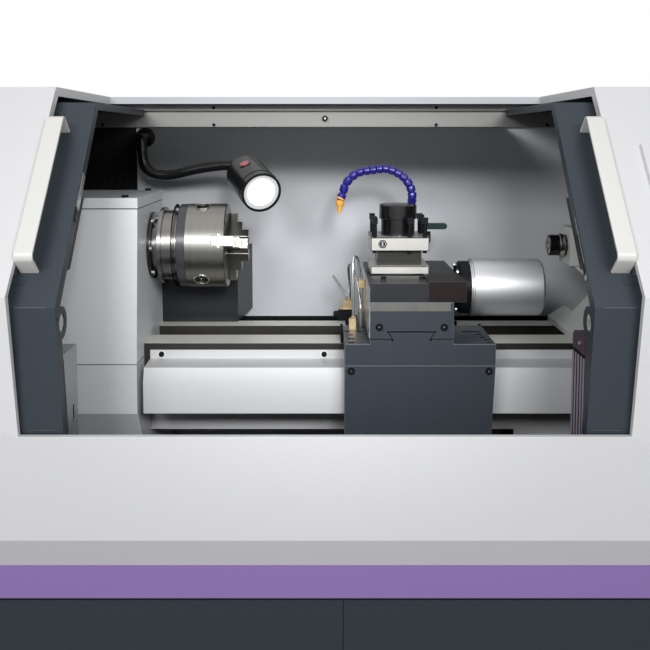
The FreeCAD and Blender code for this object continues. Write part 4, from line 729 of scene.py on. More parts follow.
class Repeat(Group):
    """A geometry tree that repeats a small shape on points or along a path."""

    def __init__(self, name: str, sizes: dict[str, float]) -> None:
        """Start the tree.

        Args:
            name: the tree's name.
            sizes: input name to its default value, in metres.
        """
        shape = {"Geometry": "NodeSocketGeometry"}
        super().__init__(name, {**shape, **sizes, "Finish": "NodeSocketMaterial"}, shape, "GeometryNodeTree")

    def close(self, shape: bpy.types.NodeSocket, places: bpy.types.NodeSocket,
              aim: bpy.types.NodeSocket) -> "Repeat":
        """Stand a shape on each place, turned to its aim, and end the tree with real geometry.

        Args:
            shape: the shape that repeats.
            places: the points.
            aim: the direction at each point.

        Returns:
            The tree itself.
        """
        turned = self.add("FunctionNodeAlignRotationToVector", {"Vector": aim}, axis="Z")
        placed = self.add("GeometryNodeInstanceOnPoints", {
            "Points": places, "Instance": shape, "Rotation": turned.outputs[0]})
        real = self.add("GeometryNodeRealizeInstances", {0: placed.outputs[0]})
        painted = self.add("GeometryNodeSetMaterial", {
            "Geometry": real.outputs[0], "Material": self.given("Finish")})
        self.give("Geometry", painted.outputs[0])
        return self

    def on_points(self, shape: bpy.types.NodeSocket) -> "Repeat":
        """Stand a shape on each point, along the point's own aim, and end the tree."""
        aim = self.add("GeometryNodeInputNamedAttribute", {"Name": "aim"}, data_type="FLOAT_VECTOR")
        return self.close(shape, self.given("Geometry"), aim.outputs[0])

    def bake(self, name: str, carrier: bpy.types.Object, sizes: dict[str, float], finish: Finish, body: str,
             slot: str) -> bpy.types.Object:
        """Run the tree once and keep its result as a plain piece.

        Args:
            name: the piece's name.
            carrier: object that holds the points or path.
            sizes: the tree's named inputs, in metres.
            finish: surface finish of the result.
            body: the CAD body that it moves with.
            slot: the record's material slot; not used.

        Returns:
            The finished piece.
        """
        modifier = carrier.modifiers.new("repeat", "NODES")
        modifier.node_group = self.tree
        wanted = dict(sizes, Finish=SHOP.material(finish))
        for item in self.tree.interface.items_tree:
            if item.item_type == "SOCKET" and item.in_out == "INPUT" and item.name in wanted:
                modifier[item.identifier] = wanted[item.name]
        bpy.context.view_layer.update()
        mesh = plain_mesh(carrier)
        mesh.name = name
        return settle(name, mesh, finish, body)


def plain_mesh(carrier: bpy.types.Object) -> bpy.types.Mesh:
    """Turn an object with its modifiers into a plain mesh, and take the object away."""
    mesh = bpy.data.meshes.new_from_object(carrier.evaluated_get(bpy.context.evaluated_depsgraph_get()))
    bpy.data.objects.remove(carrier)
    return mesh


def screw_repeat() -> Repeat:
    """Put a socket-head screw on each point, along its aim."""
    tree = Repeat("socket_screws", {
        "Head radius": 0.005, "Head height": 0.004, "Socket share": 0.55, "Sides": 20})
    height = tree.given("Head height")
    head = tree.add("GeometryNodeMeshCylinder", {
        "Vertices": tree.given("Sides"), "Radius": tree.given("Head radius"), "Depth": height})
    inset = tree.add("GeometryNodeExtrudeMesh", {
        "Mesh": head.outputs["Mesh"], "Selection": head.outputs["Top"], "Offset Scale": 0.0})
    narrow = tree.add("GeometryNodeScaleElements", {
        "Geometry": inset.outputs["Mesh"], "Selection": inset.outputs["Top"],
        "Scale": tree.given("Socket share")})
    socket = tree.add("GeometryNodeExtrudeMesh", {
        "Mesh": narrow.outputs[0], "Selection": inset.outputs["Top"],
        "Offset Scale": tree.calc("MULTIPLY", height, -0.6)})
    rise = tree.add("ShaderNodeCombineXYZ", {2: tree.calc("MULTIPLY", height, 0.5)})
    seated = tree.add("GeometryNodeTransform", {
        "Geometry": socket.outputs["Mesh"], "Translation": rise.outputs[0]})
    return tree.on_points(seated.outputs[0])


def block_repeat() -> Repeat:
    """Put a small block on each point, turned to the point's aim."""
    tree = Repeat("small_blocks", {"Length": 0.02, "Width": 0.01, "Height": 0.003})
    size = tree.add("ShaderNodeCombineXYZ", {
        0: tree.given("Length"), 1: tree.given("Width"), 2: tree.given("Height")})
    block = tree.add("GeometryNodeMeshCube", {"Size": size.outputs[0]})
    return tree.on_points(block.outputs["Mesh"])


def collar_repeat() -> Repeat:
    """Put a flared collar on each point, along its aim."""
    tree = Repeat("flared_collars", {
        "Wide radius": 0.011, "Narrow radius": 0.009, "Height": 0.004, "Sides": 24})
    collar = tree.add("GeometryNodeMeshCone", {
        "Vertices": tree.given("Sides"), "Radius Top": tree.given("Narrow radius"),
        "Radius Bottom": tree.given("Wide radius"), "Depth": tree.given("Height")})
    return tree.on_points(collar.outputs["Mesh"])


def rib_repeat() -> Repeat:
    """String round ribs along a path."""
    tree = Repeat("ribs_on_path", {"Rib radius": 0.012, "Rib thickness": 0.0022, "Spacing": 0.0042})
    path = tree.add("GeometryNodeResampleCurve", {
        "Curve": tree.given("Geometry"), "Length": tree.given("Spacing")}, mode="LENGTH")
    circle = tree.add("GeometryNodeCurvePrimitiveCircle", {
        "Resolution": 24, "Radius": tree.given("Rib radius")})
    section = tree.add("GeometryNodeCurvePrimitiveCircle", {
        "Resolution": 8, "Radius": tree.given("Rib thickness")})
    rib = tree.add("GeometryNodeCurveToMesh", {
        "Curve": circle.outputs[0], "Profile Curve": section.outputs[0]})
    return tree.close(rib.outputs[0], path.outputs[0], tree.add("GeometryNodeInputTangent").outputs[0])


SCREWS, BLOCKS, COLLARS, RIBS = screw_repeat(), block_repeat(), collar_repeat(), rib_repeat()


def points_object(places: list[Aimed]) -> bpy.types.Object:
    """Make an object of loose points with aims.

    Args:
        places: position in millimetres and direction of each point.

    Returns:
        The carrier object for a repeat.
    """
    mesh = bpy.data.meshes.new("places")
    mesh.from_pydata([Vector(spot) * MM for spot, _ in places], [], [])
    aims = mesh.attributes.new("aim", "FLOAT_VECTOR", "POINT")
    aims.data.foreach_set("vector", [number for _, aim in places for number in Vector(aim).normalized()])
    return stand("places", mesh)


def path_object(route: tuple[Point, ...]) -> bpy.types.Object:
    """Make an object of one smooth path.

    Args:
        route: points of the path, in millimetres.

    Returns:
        The carrier object for a repeat.
    """
    curve = bpy.data.curves.new("route", "CURVE")
    curve.dimensions = "3D"
    spline = curve.splines.new("NURBS")
    spline.points.add(len(route) - 1)
    for point, place in zip(spline.points, route):
        point.co = (*(Vector(place) * MM), 1)
    spline.use_endpoint_u = True
    spline.order_u = 3
    spline.resolution_u = 10
    return stand("route", curve)


def pipe(name: str, route: tuple[Point, ...], radius: float, finish: Finish, body: str) -> bpy.types.Object:
    """Make a round pipe along a smooth path.

    Args:
        name: the piece's name.
        route: points of the path, in millimetres.
        radius: the pipe's radius, in millimetres.
        finish: its surface finish.
        body: the CAD body that it moves with.

    Returns:
        The finished piece.
    """
    carrier = path_object(route)
    carrier.data.bevel_depth = radius * MM
    carrier.data.bevel_resolution = 4
    carrier.data.use_fill_caps = True
    return settle(name, plain_mesh(carrier), finish, body)


def fit_screws(name: str, places: list[Aimed], finish: Finish, body: str, slot: str, radius: float,
               height: float, sides: int = 20, share: float = 0.55) -> None:
    """Put a socket-head screw at each place.

    Args:
        name: the piece's name.
        places: position in millimetres and direction of each screw.
        finish: surface finish of the screws.
        body: the CAD body that they move with.
        slot: the record's material slot; passed on, and not used.
        radius: radius of the head, in millimetres.
        height: height of the head, in millimetres.
        sides: number of flat sides of a head.
        share: width of the socket as a share of the head's.
    """
    sizes = {"Head radius": radius * MM, "Head height": height * MM, "Sides": sides, "Socket share": share}
    SCREWS.bake(name, points_object(places), sizes, finish, body, slot)


def fit_blocks(name: str, places: list[Aimed], size: Point, finish: Finish, body: str, slot: str) -> None:
    """Put a small block at each place.

    Args:
        name: the piece's name.
        places: position in millimetres and direction of each block.
        size: length, width and height of a block, in millimetres.
        finish: surface finish of the blocks.
        body: the CAD body that they move with.
        slot: the record's material slot; passed on, and not used.
    """
    length, width, height = (number * MM for number in size)
    BLOCKS.bake(name, points_object(places), {"Length": length, "Width": width, "Height": height}, finish,
                body, slot)


# ------------------------------------------------------------------ sub-assemblies

def leaning(foot: Pair, slope: float) -> Matrix:
    """Carry a shape drawn upright, with -Y outwards, to a leaning sheet.

    Args:
        foot: depth and level of the sheet's lower edge.
        slope: lean from upright, in degrees.

    Returns:
        The matrix, in millimetres.
    """
    return Matrix.Translation((0, *foot)) @ Matrix.Rotation(-math.radians(slope), 4, "X")


@dataclass
class Cabinet:
    """Sheet-metal cabinet: base, shell, rear wall, rails and electrical box."""

    side: float = 1120.0
    skin: float = 1.5
    side_holes: tuple[Pair, ...] = ((-440, 460), (-440, 640), (-120, 460), (220, 460), (220, 900),
                                    (220, 1400), (-235, 1400), (-545, 1040), (-500, 610))
    louvre_place: Pair = (60.0, 520.0)
    louvre_pitch: float = 22.0
    base_front: float = -474.0
    base_side: float = 1110.0
    base_rear: float = 560.0
    base_seam: float = 36.0
    plate: float = 2.0
    plate_levels: Pair = (110.0, 390.0)
    rear_plates: tuple[Pair, ...] = ((-1010, -360), (-325, 325), (360, 1010))
    side_plate: Pair = (-300.0, 440.0)
    bolt_inset: float = 20.0
    wall: float = 259.9
    bumper_level: float = 1389.0
    rail_face: float = 245.0
    rail_holes: Pair = (1372.0, 1418.0)
    rear: float = 600.0
    box_half: float = 700.0
    box_low: float = 480.0
    box_high: float = 1400.0

    def base_plates(self) -> None:
        """Draw the base's seams and screw plates over its openings at the rear and the ends."""
        front, (low, high), inset = self.base_front, self.plate_levels, self.bolt_inset
        Bench().block((self.base_seam - 0.7, front - 0.3, 52), (self.base_seam + 0.7, front, 430)).block(
            (-1108, front - 0.3, 429.4), (1108, front, 431)).finish(
            "base_seams", GAP_BLACK, "machine", "base_paint")
        plates, sides, bolts = Bench(), Bench(), []
        levels = (low + inset, high - inset)
        for left, right in self.rear_plates:
            plates.block((left, self.base_rear, low), (right, self.base_rear + self.plate, high))
            bolts += [((x, self.base_rear + self.plate, z), REAR_WAY)
                      for x in (left + inset, right - inset) for z in levels]
        for sign in (-1, 1):
            face = sign * (self.base_side + self.plate)
            inner, outer = sorted((sign * self.base_side, face))
            near, far = self.side_plate
            sides.block((inner, near, low), (outer, far, high))
            bolts += [((face, y, z), (sign, 0, 0)) for y in (near + inset, far - inset) for z in levels]
        plates.finish("base_rear_plates", BASE_SLATE, "machine", "base_paint", bevel=0.8)
        sides.finish("base_side_plates", BASE_SLATE, "machine", "base_paint", bevel=0.8)
        fit_screws("base_plate_screws", bolts, BLACK_STEEL, "machine", "base_paint", radius=7, height=2)

    def end_fittings(self) -> None:
        """Screw the end covers on and vent them with louvres."""
        screws, louvres = [], []
        depth, level = self.louvre_place
        for sign in (-1, 1):
            face, way = sign * (self.side - self.skin), (sign, 0, 0)
            screws += [((face, y, z), way) for y, z in self.side_holes]
            louvres += [((face + sign * 0.7, depth, level + self.louvre_pitch * row), way)
                        for row in range(10)]
        fit_screws("side_screws", screws, BLACK_STEEL, "machine", "cabinet_paint", radius=6, height=1.4)
        # Dark blocks for the louvre slots: painted shade in the openings.
        fit_blocks("side_louvres", louvres, (6, 200, 1.5), SEAM_SHADE, "machine", "cabinet_paint")

    def rail_fittings(self) -> None:
        """Face the rail's rubber end stop and screw the rail to the wall."""
        level = self.bumper_level
        Bench().rod((0, 236, level), (0, 234, level), 7.4).finish(
            "rail_bumper_face", BLACK_RUBBER, "machine", "rail_zinc", bevel=0.4)
        Bench().rod((0, 234.4, level), (0, 233.2, level), 2.6).finish(
            "rail_bumper_screw", BRIGHT_SCREW, "machine", "rail_zinc", bevel=0.3)
        screws = [((x, self.rail_face, z), FRONT_WAY)
                  for x in range(-900, 1000, 300) for z in self.rail_holes if x]
        fit_screws("rail_screws", screws, BLACK_STEEL, "machine", "rail_zinc", radius=4.5, height=2, sides=16)

    def wall_fittings(self) -> None:
        """Lay a black strip at the wall's foot above the rear way and a dark folded panel behind the
        headstock: both painted shade.
        """
        # Black strip at the foot of the wall: painted shade.
        Bench().block((-413, 254, 806), (1000, self.wall, 846)).finish(
            "wall_foot_shade", BLACK_RUBBER, "machine", "black_plastic", bevel=1.0)
        # Dark panel with folds on the wall's upper left behind the headstock: painted shade.
        Bench().block((-800, 252, 1192), (-512, self.wall, 1366)).finish(
            "wall_top_shade_panel", BLACK_RUBBER, "machine", "black_plastic", bevel=2.0)
        folds = [((x, 251.4, 1279), FRONT_WAY) for x in range(-780, -520, 20)]
        fit_blocks("wall_top_shade_folds", folds, (4, 150, 1.5), BLACK_PLASTIC, "machine", "black_plastic")

    def electrical_doors(self) -> None:
        """Fit two doors with their seal, hinges, locks and louvres on the rear box."""
        near, half, low, high = self.rear - 6, self.box_half, self.box_low, self.box_high
        Bench().block((5.5 - half, near - 0.5, low + 7.5), (half - 5.5, near + 0.6, high - 7.5)).finish(
            "box_door_seal", BLACK_RUBBER, "machine", "cabinet_paint")
        for name, left, right in (("left", 8 - half, -3.0), ("right", 3.0, half - 8)):
            Bench().block((left, near, low + 10), (right, near + 3, high - 10)).finish(
                f"box_door_{name}", CABINET_WHITE, "machine", "cabinet_paint", bevel=1.2)
        locks, hinges = Bench(), Bench()
        for x in (-40, 40):
            for z in (700, 1180):
                locks.rod((x, near + 3, z), (x, near + 5.6, z), 11)
                locks.block((x - 3, near + 5.4, z - 1), (x + 3, near + 6, z + 1))
        for x in (6 - half, half - 6):
            for z in (620, 940, 1260):
                hinges.rod((x, near + 1.5, z - 30), (x, near + 1.5, z + 30), 4)
        locks.finish("box_locks", BLACK_STEEL, "machine", "dark_steel", bevel=0.3)
        hinges.finish("box_hinges", ZINC, "machine", "rail_zinc")
        # Dark blocks for the louvre slots: painted shade in the openings.
        slats = [((x, near + 3.8, 560 + 16 * row), REAR_WAY) for x in (-350, 350) for row in range(14)]
        fit_blocks("box_louvres", slats, (260, 6, 2), SEAM_SHADE, "machine", "cabinet_paint")

    def build(self) -> None:
        """Add the small pieces of the cabinet."""
        self.base_plates()
        self.end_fittings()
        self.electrical_doors()
        self.wall_fittings()
        self.rail_fittings()

    def dress(self) -> None:
        """Paint the sheets."""
        inner = self.side - self.skin
        soften(CABINET_WHITE, 1.6, "front_shell", crease=15)
        soften(CABINET_WHITE, 0, "end_covers", sink=((0, 1119.5, inner), (0, -1119.5, -inner)))
        soften(CABINET_WHITE, 1.0, "electrical_cabinet", sink=((1, 599.0, self.rear - 6),))
        dress(STRIPE_LILAC, "stripe_panel")
        dress(BASE_SLATE, "base_cabinet")
        soften(BLACK_STEEL, 0.8, "levelling_feet")
        dress(WALL_GREY, "back_wall")
        soften(RAIL_ZINC, 0.6, "door_rails", zones=(Zone(BLACK_RUBBER, (-8, 230, 1380), (8, 244.9, 1398)),))
        # The chip tray's near-black paint is partly painted shade under the bed.
        dress(TRAY_SHADE_BLACK, "chip_tray")


@dataclass
class Doors:
    """Two sliding doors with their handles, window frames and edge fittings."""

    lead: float = 487.0
    knee: Pair = (-569.0, 1032.0)
    slope: float = 40.1
    # Depth and level of the painted highlight line above the sill.
    sill_highlight_at: Pair = (-539.1, 795.0)
    window_low: float = 48.0
    window_high: float = 466.0
    window_near: float = 62.0
    window_far: float = 556.0
    frame_width: float = 20.0
    frame_skin: Pair = (-1.6, 0.4)
    bracket_at: float = -460.9
    channel_front: float = -506.0
    channel_ribs: tuple[float, ...] = (-503.5, -487.0, -469.0, -451.0, -434.0)

    def highlight_lines(self, side: str, sign: int) -> None:
        """Lay thin lighter lines at the knee and above the sill: painted highlights where the door's bends
        catch the light.

        Args:
            side: "left" or "right".
            sign: -1 for the left door, 1 for the right one.
        """
        depth, level = self.knee
        for name, first, last, y, z, radius in (("fold", 16, 74, depth + 0.3, level, 0.7),
                                                ("sill_highlight", 12, 66, *self.sill_highlight_at, 0.5)):
            start, end = sign * (self.lead + first), sign * (self.lead + last)
            Bench().rod((start, y, z), (end, y, z), radius, 12).finish(
                f"{side}_{name}_line", DOOR_EDGE_HIGHLIGHT, f"{side}_door", "door_paint")

    def window_frame(self, side: str, sign: int) -> None:
        """Lay a painted frame over the window's edge.

        Args:
            side: "left" or "right".
            sign: -1 for the left door, 1 for the right one.
        """
        left, right = sorted((sign * (self.lead + self.window_near), sign * (self.lead + self.window_far)))
        place = leaning(self.knee, self.slope)
        width, low, high = self.frame_width, self.window_low, self.window_high
        out, inside = self.frame_skin
        bars = Bench()
        for start, end, foot, head in (
            (left, right, low, low + width), (left, right, high - width, high),
            (left, left + width, low + width, high - width),
            (right - width, right, low + width, high - width),
        ):
            bars.block((start, out, foot), (end, inside, head), place)
        bars.finish(f"{side}_window_frame", DOOR_GREY, f"{side}_door", "door_paint", bevel=0.5)

    def left_edge(self) -> None:
        """Fit the worn latch plate, seal strip, bracket screw and the dark discs of the edge holes, which are
        painted shade, on the left door.
        """
        place = leaning(self.knee, self.slope)
        edge, y = -self.lead, self.bracket_at
        Bench().block((edge, 4, 228), (edge + 1.2, 21, 312), place).finish(
            "latch_plate", SHEET_BRIGHT, "left_door", "rail_zinc", bevel=0.4)
        Bench().block((edge, 3, 198), (edge + 1.6, 16, 226), place).finish(
            "latch_stop", BLACK_STEEL, "left_door", "dark_steel", bevel=0.4)
        # Dark discs on the door's edge stand for its holes: painted shade.
        Bench().rod((edge - 0.5, -556, 1008), (edge + 0.25, -556, 1008), 3.2).rod(
            (edge - 0.5, -262, 1398), (edge + 0.25, -262, 1398), 2.4).finish(
            "edge_hole_shade", GAP_BLACK, "left_door", "door_paint")
        upright = Matrix(((0, 0, 1, 0), (1, 0, 0, 0), (0, 1, 0, 0), (0, 0, 0, 1)))
        strip = [(-513, 742), (-508.4, 742), (-508.4, 782), (-527, 925), (-531.5, 925), (-512.5, 782)]
        Bench().slab(strip, edge, edge + 0.8, upright).finish(
            "left_seal", MAROON_CAP, "left_door", "door_paint")
        Bench().rod((-490.5, y, 790), (-489.8, y, 790), 5.2).block(
            (-490.5, y - 3.5, 790), (-489.8, y + 3.5, 820)).finish(
            "keyhole_shade", GAP_BLACK, "left_door", "door_paint")
        Bench().rod((-490, y, 789), (-488.8, y, 789), 3.4).finish(
            "bracket_screw", BRIGHT_SCREW, "left_door", "rail_zinc", bevel=0.4)

    def right_edge(self) -> None:
        """Fit the latch bar, the slotted seal channel and its cap on the right door."""
        place = leaning(self.knee, self.slope)
        edge, front = self.lead, self.channel_front
        Bench().block((edge - 1.4, 14, 84), (edge, 22, 170), place).finish(
            "latch_bar", BLACK_STEEL, "right_door", "dark_steel", bevel=0.4)
        Bench().block((edge - 1.2, 9, 100), (edge, 10, 206), place).rod(
            place @ Vector((edge - 1.7, 16, 72)), place @ Vector((edge, 16, 72)), 5.5).finish(
            "latch_edge", ZINC, "right_door", "rail_zinc", bevel=0.2)
        face = edge + 3
        # Black block in the channel's recess behind the ribs: painted shade.
        Bench().block((face - 0.5, front, 742), (face, -431.4, 929)).finish(
            "channel_recess_shade", GAP_BLACK, "right_door", "rail_zinc")
        ribs = [((face - 1.3, y, 832), LEFT_WAY) for y in self.channel_ribs]
        fit_blocks("channel_ribs", ribs, (180, 5, 2.2), SEAL_GREY, "right_door", "rail_zinc")
        Bench().block((face - 2.2, front, 929), (face, -431.2, 957)).finish(
            "channel_cap", MAROON_CAP, "right_door", "rail_zinc", bevel=0.5)
        fit_screws("channel_screw", [((face - 2.2, -478, 946), LEFT_WAY)], BRIGHT_SCREW, "right_door",
                   "rail_zinc", radius=5, height=2)

    def build(self) -> None:
        """Add what both doors carry and what each has at its edge."""
        for side, sign in (("left", -1), ("right", 1)):
            self.highlight_lines(side, sign)
            self.window_frame(side, sign)
        self.left_edge()
        self.right_edge()

    def dress(self) -> None:
        """Paint doors, handles and fittings."""
        for side, sign in (("left", -1), ("right", 1)):
            near, far = sorted((sign * 489.8, sign * 517.0))
            soften(DOOR_GREY, 1.4, f"{side}_door", edge=DOOR_GREY, crease=20,
                   zones=(Zone(BLACK_STEEL, (near, -700, 1080), (far, 0, 1222)),))
        soften(HANDLE_CREAM, 1.8, "left_handle", "right_handle")
        dress(WINDOW_GLASS, "left_door_window", "right_door_window")
        soften(ZINC, 0.6, "left_door_bracket")
        soften(MAROON_CAP, 0.6, "right_door_channel")


@dataclass
class Headstock:
    """Headstock, spindle, chuck and guard."""

    left: float = -830.0
    right: float = -414.5
    front: float = -238.5
    lid_level: float = 1182.0
    lid_front: float = -202.7
    seam_level: float = 840.0
    top: float = 1205.0
    seat_at: float = -288.5
    seat_radius: float = 98.4
    seat_angle: float = 227.0

    def build(self) -> None:
        """Add the shadow lines between the castings, the pinions' seats and the screws of the lid."""
        left, right, front, lid, seam = self.left, self.right, self.front, self.lid_level, self.seam_level
        Bench().block((left, self.lid_front, lid - 1.8), (right, self.lid_front + 2.1, lid)).block(
            (right - 0.4, -201, lid - 1.8), (right + 0.8, 92, lid)).block(
            (left, front, seam - 0.8), (right, front + 0.6, seam + 0.8)).block(
            (right - 0.2, front, seam - 0.7), (right + 0.3, -162, seam + 0.7)).finish(
            "casting_seams", SEAM_SHADE, "machine", "head_paint")
        seats = Bench()
        for turn in (0, 120, 240):
            angle = math.radians(self.seat_angle + turn)
            way = (0.0, math.cos(angle), math.sin(angle))
            centre = (self.seat_at, SPINDLE_Y + way[1] * self.seat_radius,
                      SPINDLE_Z + way[2] * self.seat_radius)
            seats.ring(centre, way, 15.5, 19, 2.6, 40)
        seats.finish("pinion_seats", EDGE_STEEL, "spindle", "chuck_steel", bevel=0.6)
        Bench().ring((-324.2, SPINDLE_Y, SPINDLE_Z), RIGHT_WAY, 98, 99.4, 1.2, 96).ring(
            (-355.6, SPINDLE_Y, SPINDLE_Z), RIGHT_WAY, 90, 99.3, 1.0, 96).finish(
            "adapter_joints", GAP_BLACK, "spindle", "chuck_steel")
        lid_holes = [((x, y, self.top), UP_WAY) for x in (-800, -622, -446) for y in (-180, 74)]
        fit_screws("lid_screws", lid_holes, BLACK_STEEL, "machine", "dark_steel", radius=8, height=5,
                   sides=24)

    def dress(self) -> None:
        """Paint castings and finish the turned parts."""
        soften(HEAD_ENAMEL, 3.0, "headstock", "headstock_pedestal")
        # The guard's dark paint is partly painted shade from the chuck above it.
        soften(GUARD_SLATE_SHADED, 1.5, "chuck_guard")
        soften(TURNED_STEEL, 0, "chuck_body", spin=SPINDLE_AXIS)
        soften(ADAPTER_SLATE, 0, "chuck_adapter", spin=SPINDLE_AXIS,
               zones=(Zone(NOSE_STEEL, (-356, -200, 900), (-343.9, 200, 1200)),))
        soften(NOSE_STEEL, 0, "spindle", "balance_ring", spin=SPINDLE_AXIS)
        soften(CAP_BLACK, 0, "bearing_cover", spin=SPINDLE_AXIS,
               zones=(Zone(BRIGHT_SCREW, (-407.9, -130, 980), (-403, 60, 1180)),))
        # Rounded edges of the jaws and the pinions take the bright edge steel: painted highlight.
        soften(JAW_STEEL, 0.9, "jaw_1", "jaw_2", "jaw_3", edge=EDGE_STEEL)
        soften(BLACK_STEEL, 0.5, "pinion_1", "pinion_2", "pinion_3", edge=EDGE_STEEL)


@dataclass
class Bed:
    """Bed with its ground ways, cover and feed screw."""

    strip_front: float = -161.0
    screw_level: float = 844.0
    screw_first: float = -374.0
    screw_pitch: float = 372.0

    def screw_places(self) -> list[float]:
        """Give the cover's screws along X."""
        return [self.screw_first + number * self.screw_pitch for number in range(4)]

    def build(self) -> None:
        """Add washers and sockets to the cover's screws."""
        washers = Bench()
        for x in self.screw_places():
            washers.ring((x, self.strip_front, self.screw_level), FRONT_WAY, 6.4, 9.6, 0.8)
        washers.finish("cover_washers", HANDLE_CREAM, "machine", "cabinet_paint", bevel=0.2)
        heads = [((x, self.strip_front - 3, self.screw_level), FRONT_WAY) for x in self.screw_places()]
        fit_screws("cover_screw_heads", heads, BLACK_STEEL, "machine", "dark_steel", radius=5.5,
                   height=1.8, sides=24)

    def dress(self) -> None:
        """Finish the bed."""
        # The ways' up-facing tops take the light copy of the way steel: painted highlight.
        soften(WAY_SIDE, 1.0, "bed", zones=(
            Zone(WAY_TOP_LIT, (-420, -160, 868.5), (1001, 90, 869.5), UP_WAY),
            Zone(BED_WHITE, (-420, -92, 430), (1001, -90, 782), FRONT_WAY),
        ))
        soften(BED_WHITE, 1.2, "bed_cover", zones=tuple(
            Zone(BLACK_STEEL, (x - 7, -165, 837), (x + 7, self.strip_front - 0.1, 851))
            for x in self.screw_places()))
        dress(GROUND_STEEL, "feed_screw")
        soften(BLACK_PLASTIC, 2.0, "feed_servo")


@dataclass
class Carriage:
    """Saddle, apron, cross slide and oil lines."""

    front: float = -297.0
    left: float = 42.0
    right: float = 364.0
    wing_top: float = 900.0
    slide_left: float = 95.5
    slide_right: float = 273.5
    tail_level: float = 912.0
    left_dashes: tuple[Pair, ...] = ((51, -174), (78, -174), (56, -210), (57, -246), (57, -282))
    right_dashes: tuple[Pair, ...] = ((318, -176), (332, -176), (346, -178), (343, -204), (346, -232),
                                      (351, -258), (352, -284))
    apron_holes: tuple[Point, ...] = ((56, -295, 841), (350, -295, 841))
    slide_holes: tuple[Point, ...] = ((115.5, -293, 936), (253.5, -293, 936))
    free_pipe: tuple[Point, ...] = ((54, 45, 928), (54, 45, 940), (54, 45, 940), (19.5, 45, 994))
    front_pipe: tuple[Point, ...] = ((65, -148, 922), (65, -148, 985), (62.5, -140, 1064), (76, -106, 1064),
                                     (82, -101, 1024), (82, -101, 1004))
    rear_pipe: tuple[Point, ...] = ((62, 45, 928), (62, 45, 972), (56, 20, 1026), (69, 0, 1026),
                                    (83, -119, 966), (83, -119, 935))

    def dovetail_lines(self) -> None:
        """Draw the shadow in the dovetail's clearance on the saddle's front."""
        out, inside, level = self.front - 0.25, self.front + 0.4, self.tail_level
        lines = Bench().block((131, out, 925.3), (237.5, inside, 927.9)).block(
            (self.slide_left, out, level - 2.0), (143, inside, level - 0.1)).block(
            (225, out, level - 2.0), (self.slide_right, inside, level - 0.1))
        face = self.front + 0.5
        for foot, head in ((143.4, 132.9), (224.6, 235.1)):
            lines.rod((foot, face, level), (head, face, 927.6), 1.1, 8)
            lines.rod((foot, out - 0.1, level - 2.7), (foot, inside, level - 2.7), 2.6, 16)
        lines.finish("dovetail_shadow", GAP_BLACK, "carriage", "machine_paint")

    def wing_marks(self) -> None:
        """Lay short black dashes on both wings: painted shade in the wings' slots."""
        marks = [((x, y, self.wing_top), UP_WAY) for x, y in self.left_dashes + self.right_dashes]
        fit_blocks("wing_slot_shade", marks, (13, 8.5, 0.8), GAP_BLACK, "carriage", "machine_paint")

    def wipers(self) -> None:
        """Fit rubber wipers at the saddle's ends."""
        for side, front, rear in (("left", (self.left - 6, self.left), (52, 58)),
                                  ("right", (self.right, self.right + 6), (324, 330))):
            for place, (start, end), near, far, top in (("front", front, -160, -74, 896),
                                                        ("rear", rear, 30, 86, 879)):
                Bench().block((start, near, 869.5), (end, far, top)).finish(
                    f"wiper_{place}_{side}", BLACK_RUBBER, "carriage", "machine_paint", bevel=0.8)

    def screws(self) -> None:
        """Put black socket screws in the apron's and the slide's recesses, with a bright disc in each socket
        as a painted glint and a black ring round each as painted shade.
        """
        for name, body, places in (("apron_screws", "carriage", self.apron_holes),
                                   ("slide_screws", "cross_slide", self.slide_holes)):
            fit_screws(name, [(spot, FRONT_WAY) for spot in places], BLACK_STEEL, body, "dark_steel",
                       radius=6.2, height=3, sides=28, share=0.45)
            glints, shade_rims = Bench(), Bench()
            for x, y, z in places:
                glints.rod((x, y, z), (x, y - 1.4, z), 1.5, 6)
                shade_rims.ring((x, self.front + 0.3, z), FRONT_WAY, 6.6, 8.3, 0.5, 32)
            glints.finish(f"{name}_glints", BRIGHT_SCREW, body, "dark_steel")
            shade_rims.finish(f"{name}_rims", GAP_BLACK, body, "dark_steel")

    def fittings(self) -> None:
        """Add pipe nuts and the end of the oil distributor."""
        nuts = Bench()
        for x, y, z, radius in ((54, 45, 930, 3.9), (62, 45, 930, 3.9), (65, -148, 924, 6),
                                (82, -101, 1005, 5.6), (83, -119, 936, 5.6)):
            nuts.rod((x, y, z), (x, y, z + 5), radius, 6)
        nuts.finish("pipe_nuts", LIGHT_BRASS, "carriage", "brass", bevel=0.4)
        Bench().rod((23, 44, 895), (34, 44, 895), 8.5).rod((21, 44, 895), (23.5, 44, 895), 6).finish(
            "distributor_end", BLACK_PLASTIC, "carriage", "brass", bevel=0.8)

    def pipes(self) -> None:
        """Bend the three bright oil pipes."""
        routes = {"free": self.free_pipe, "front": self.front_pipe, "rear": self.rear_pipe}
        tubes = [pipe(f"oil_pipe_{name}", route, 3.1, PIPE_SILVER, "carriage")
                 for name, route in routes.items()]
        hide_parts("oil_pipes")

    def build(self) -> None:
        """Add the small fittings."""
        self.pipes()
        self.dovetail_lines()
        self.wing_marks()
        self.wipers()
        self.screws()
        self.fittings()

    def dress(self) -> None:
        """Paint the castings and finish pipes."""
        # Rounded edges of the castings take the lighter edge enamel: painted highlight.
        soften(MACHINE_ENAMEL, 0.8, "saddle", edge=MACHINE_EDGE_HIGHLIGHT)
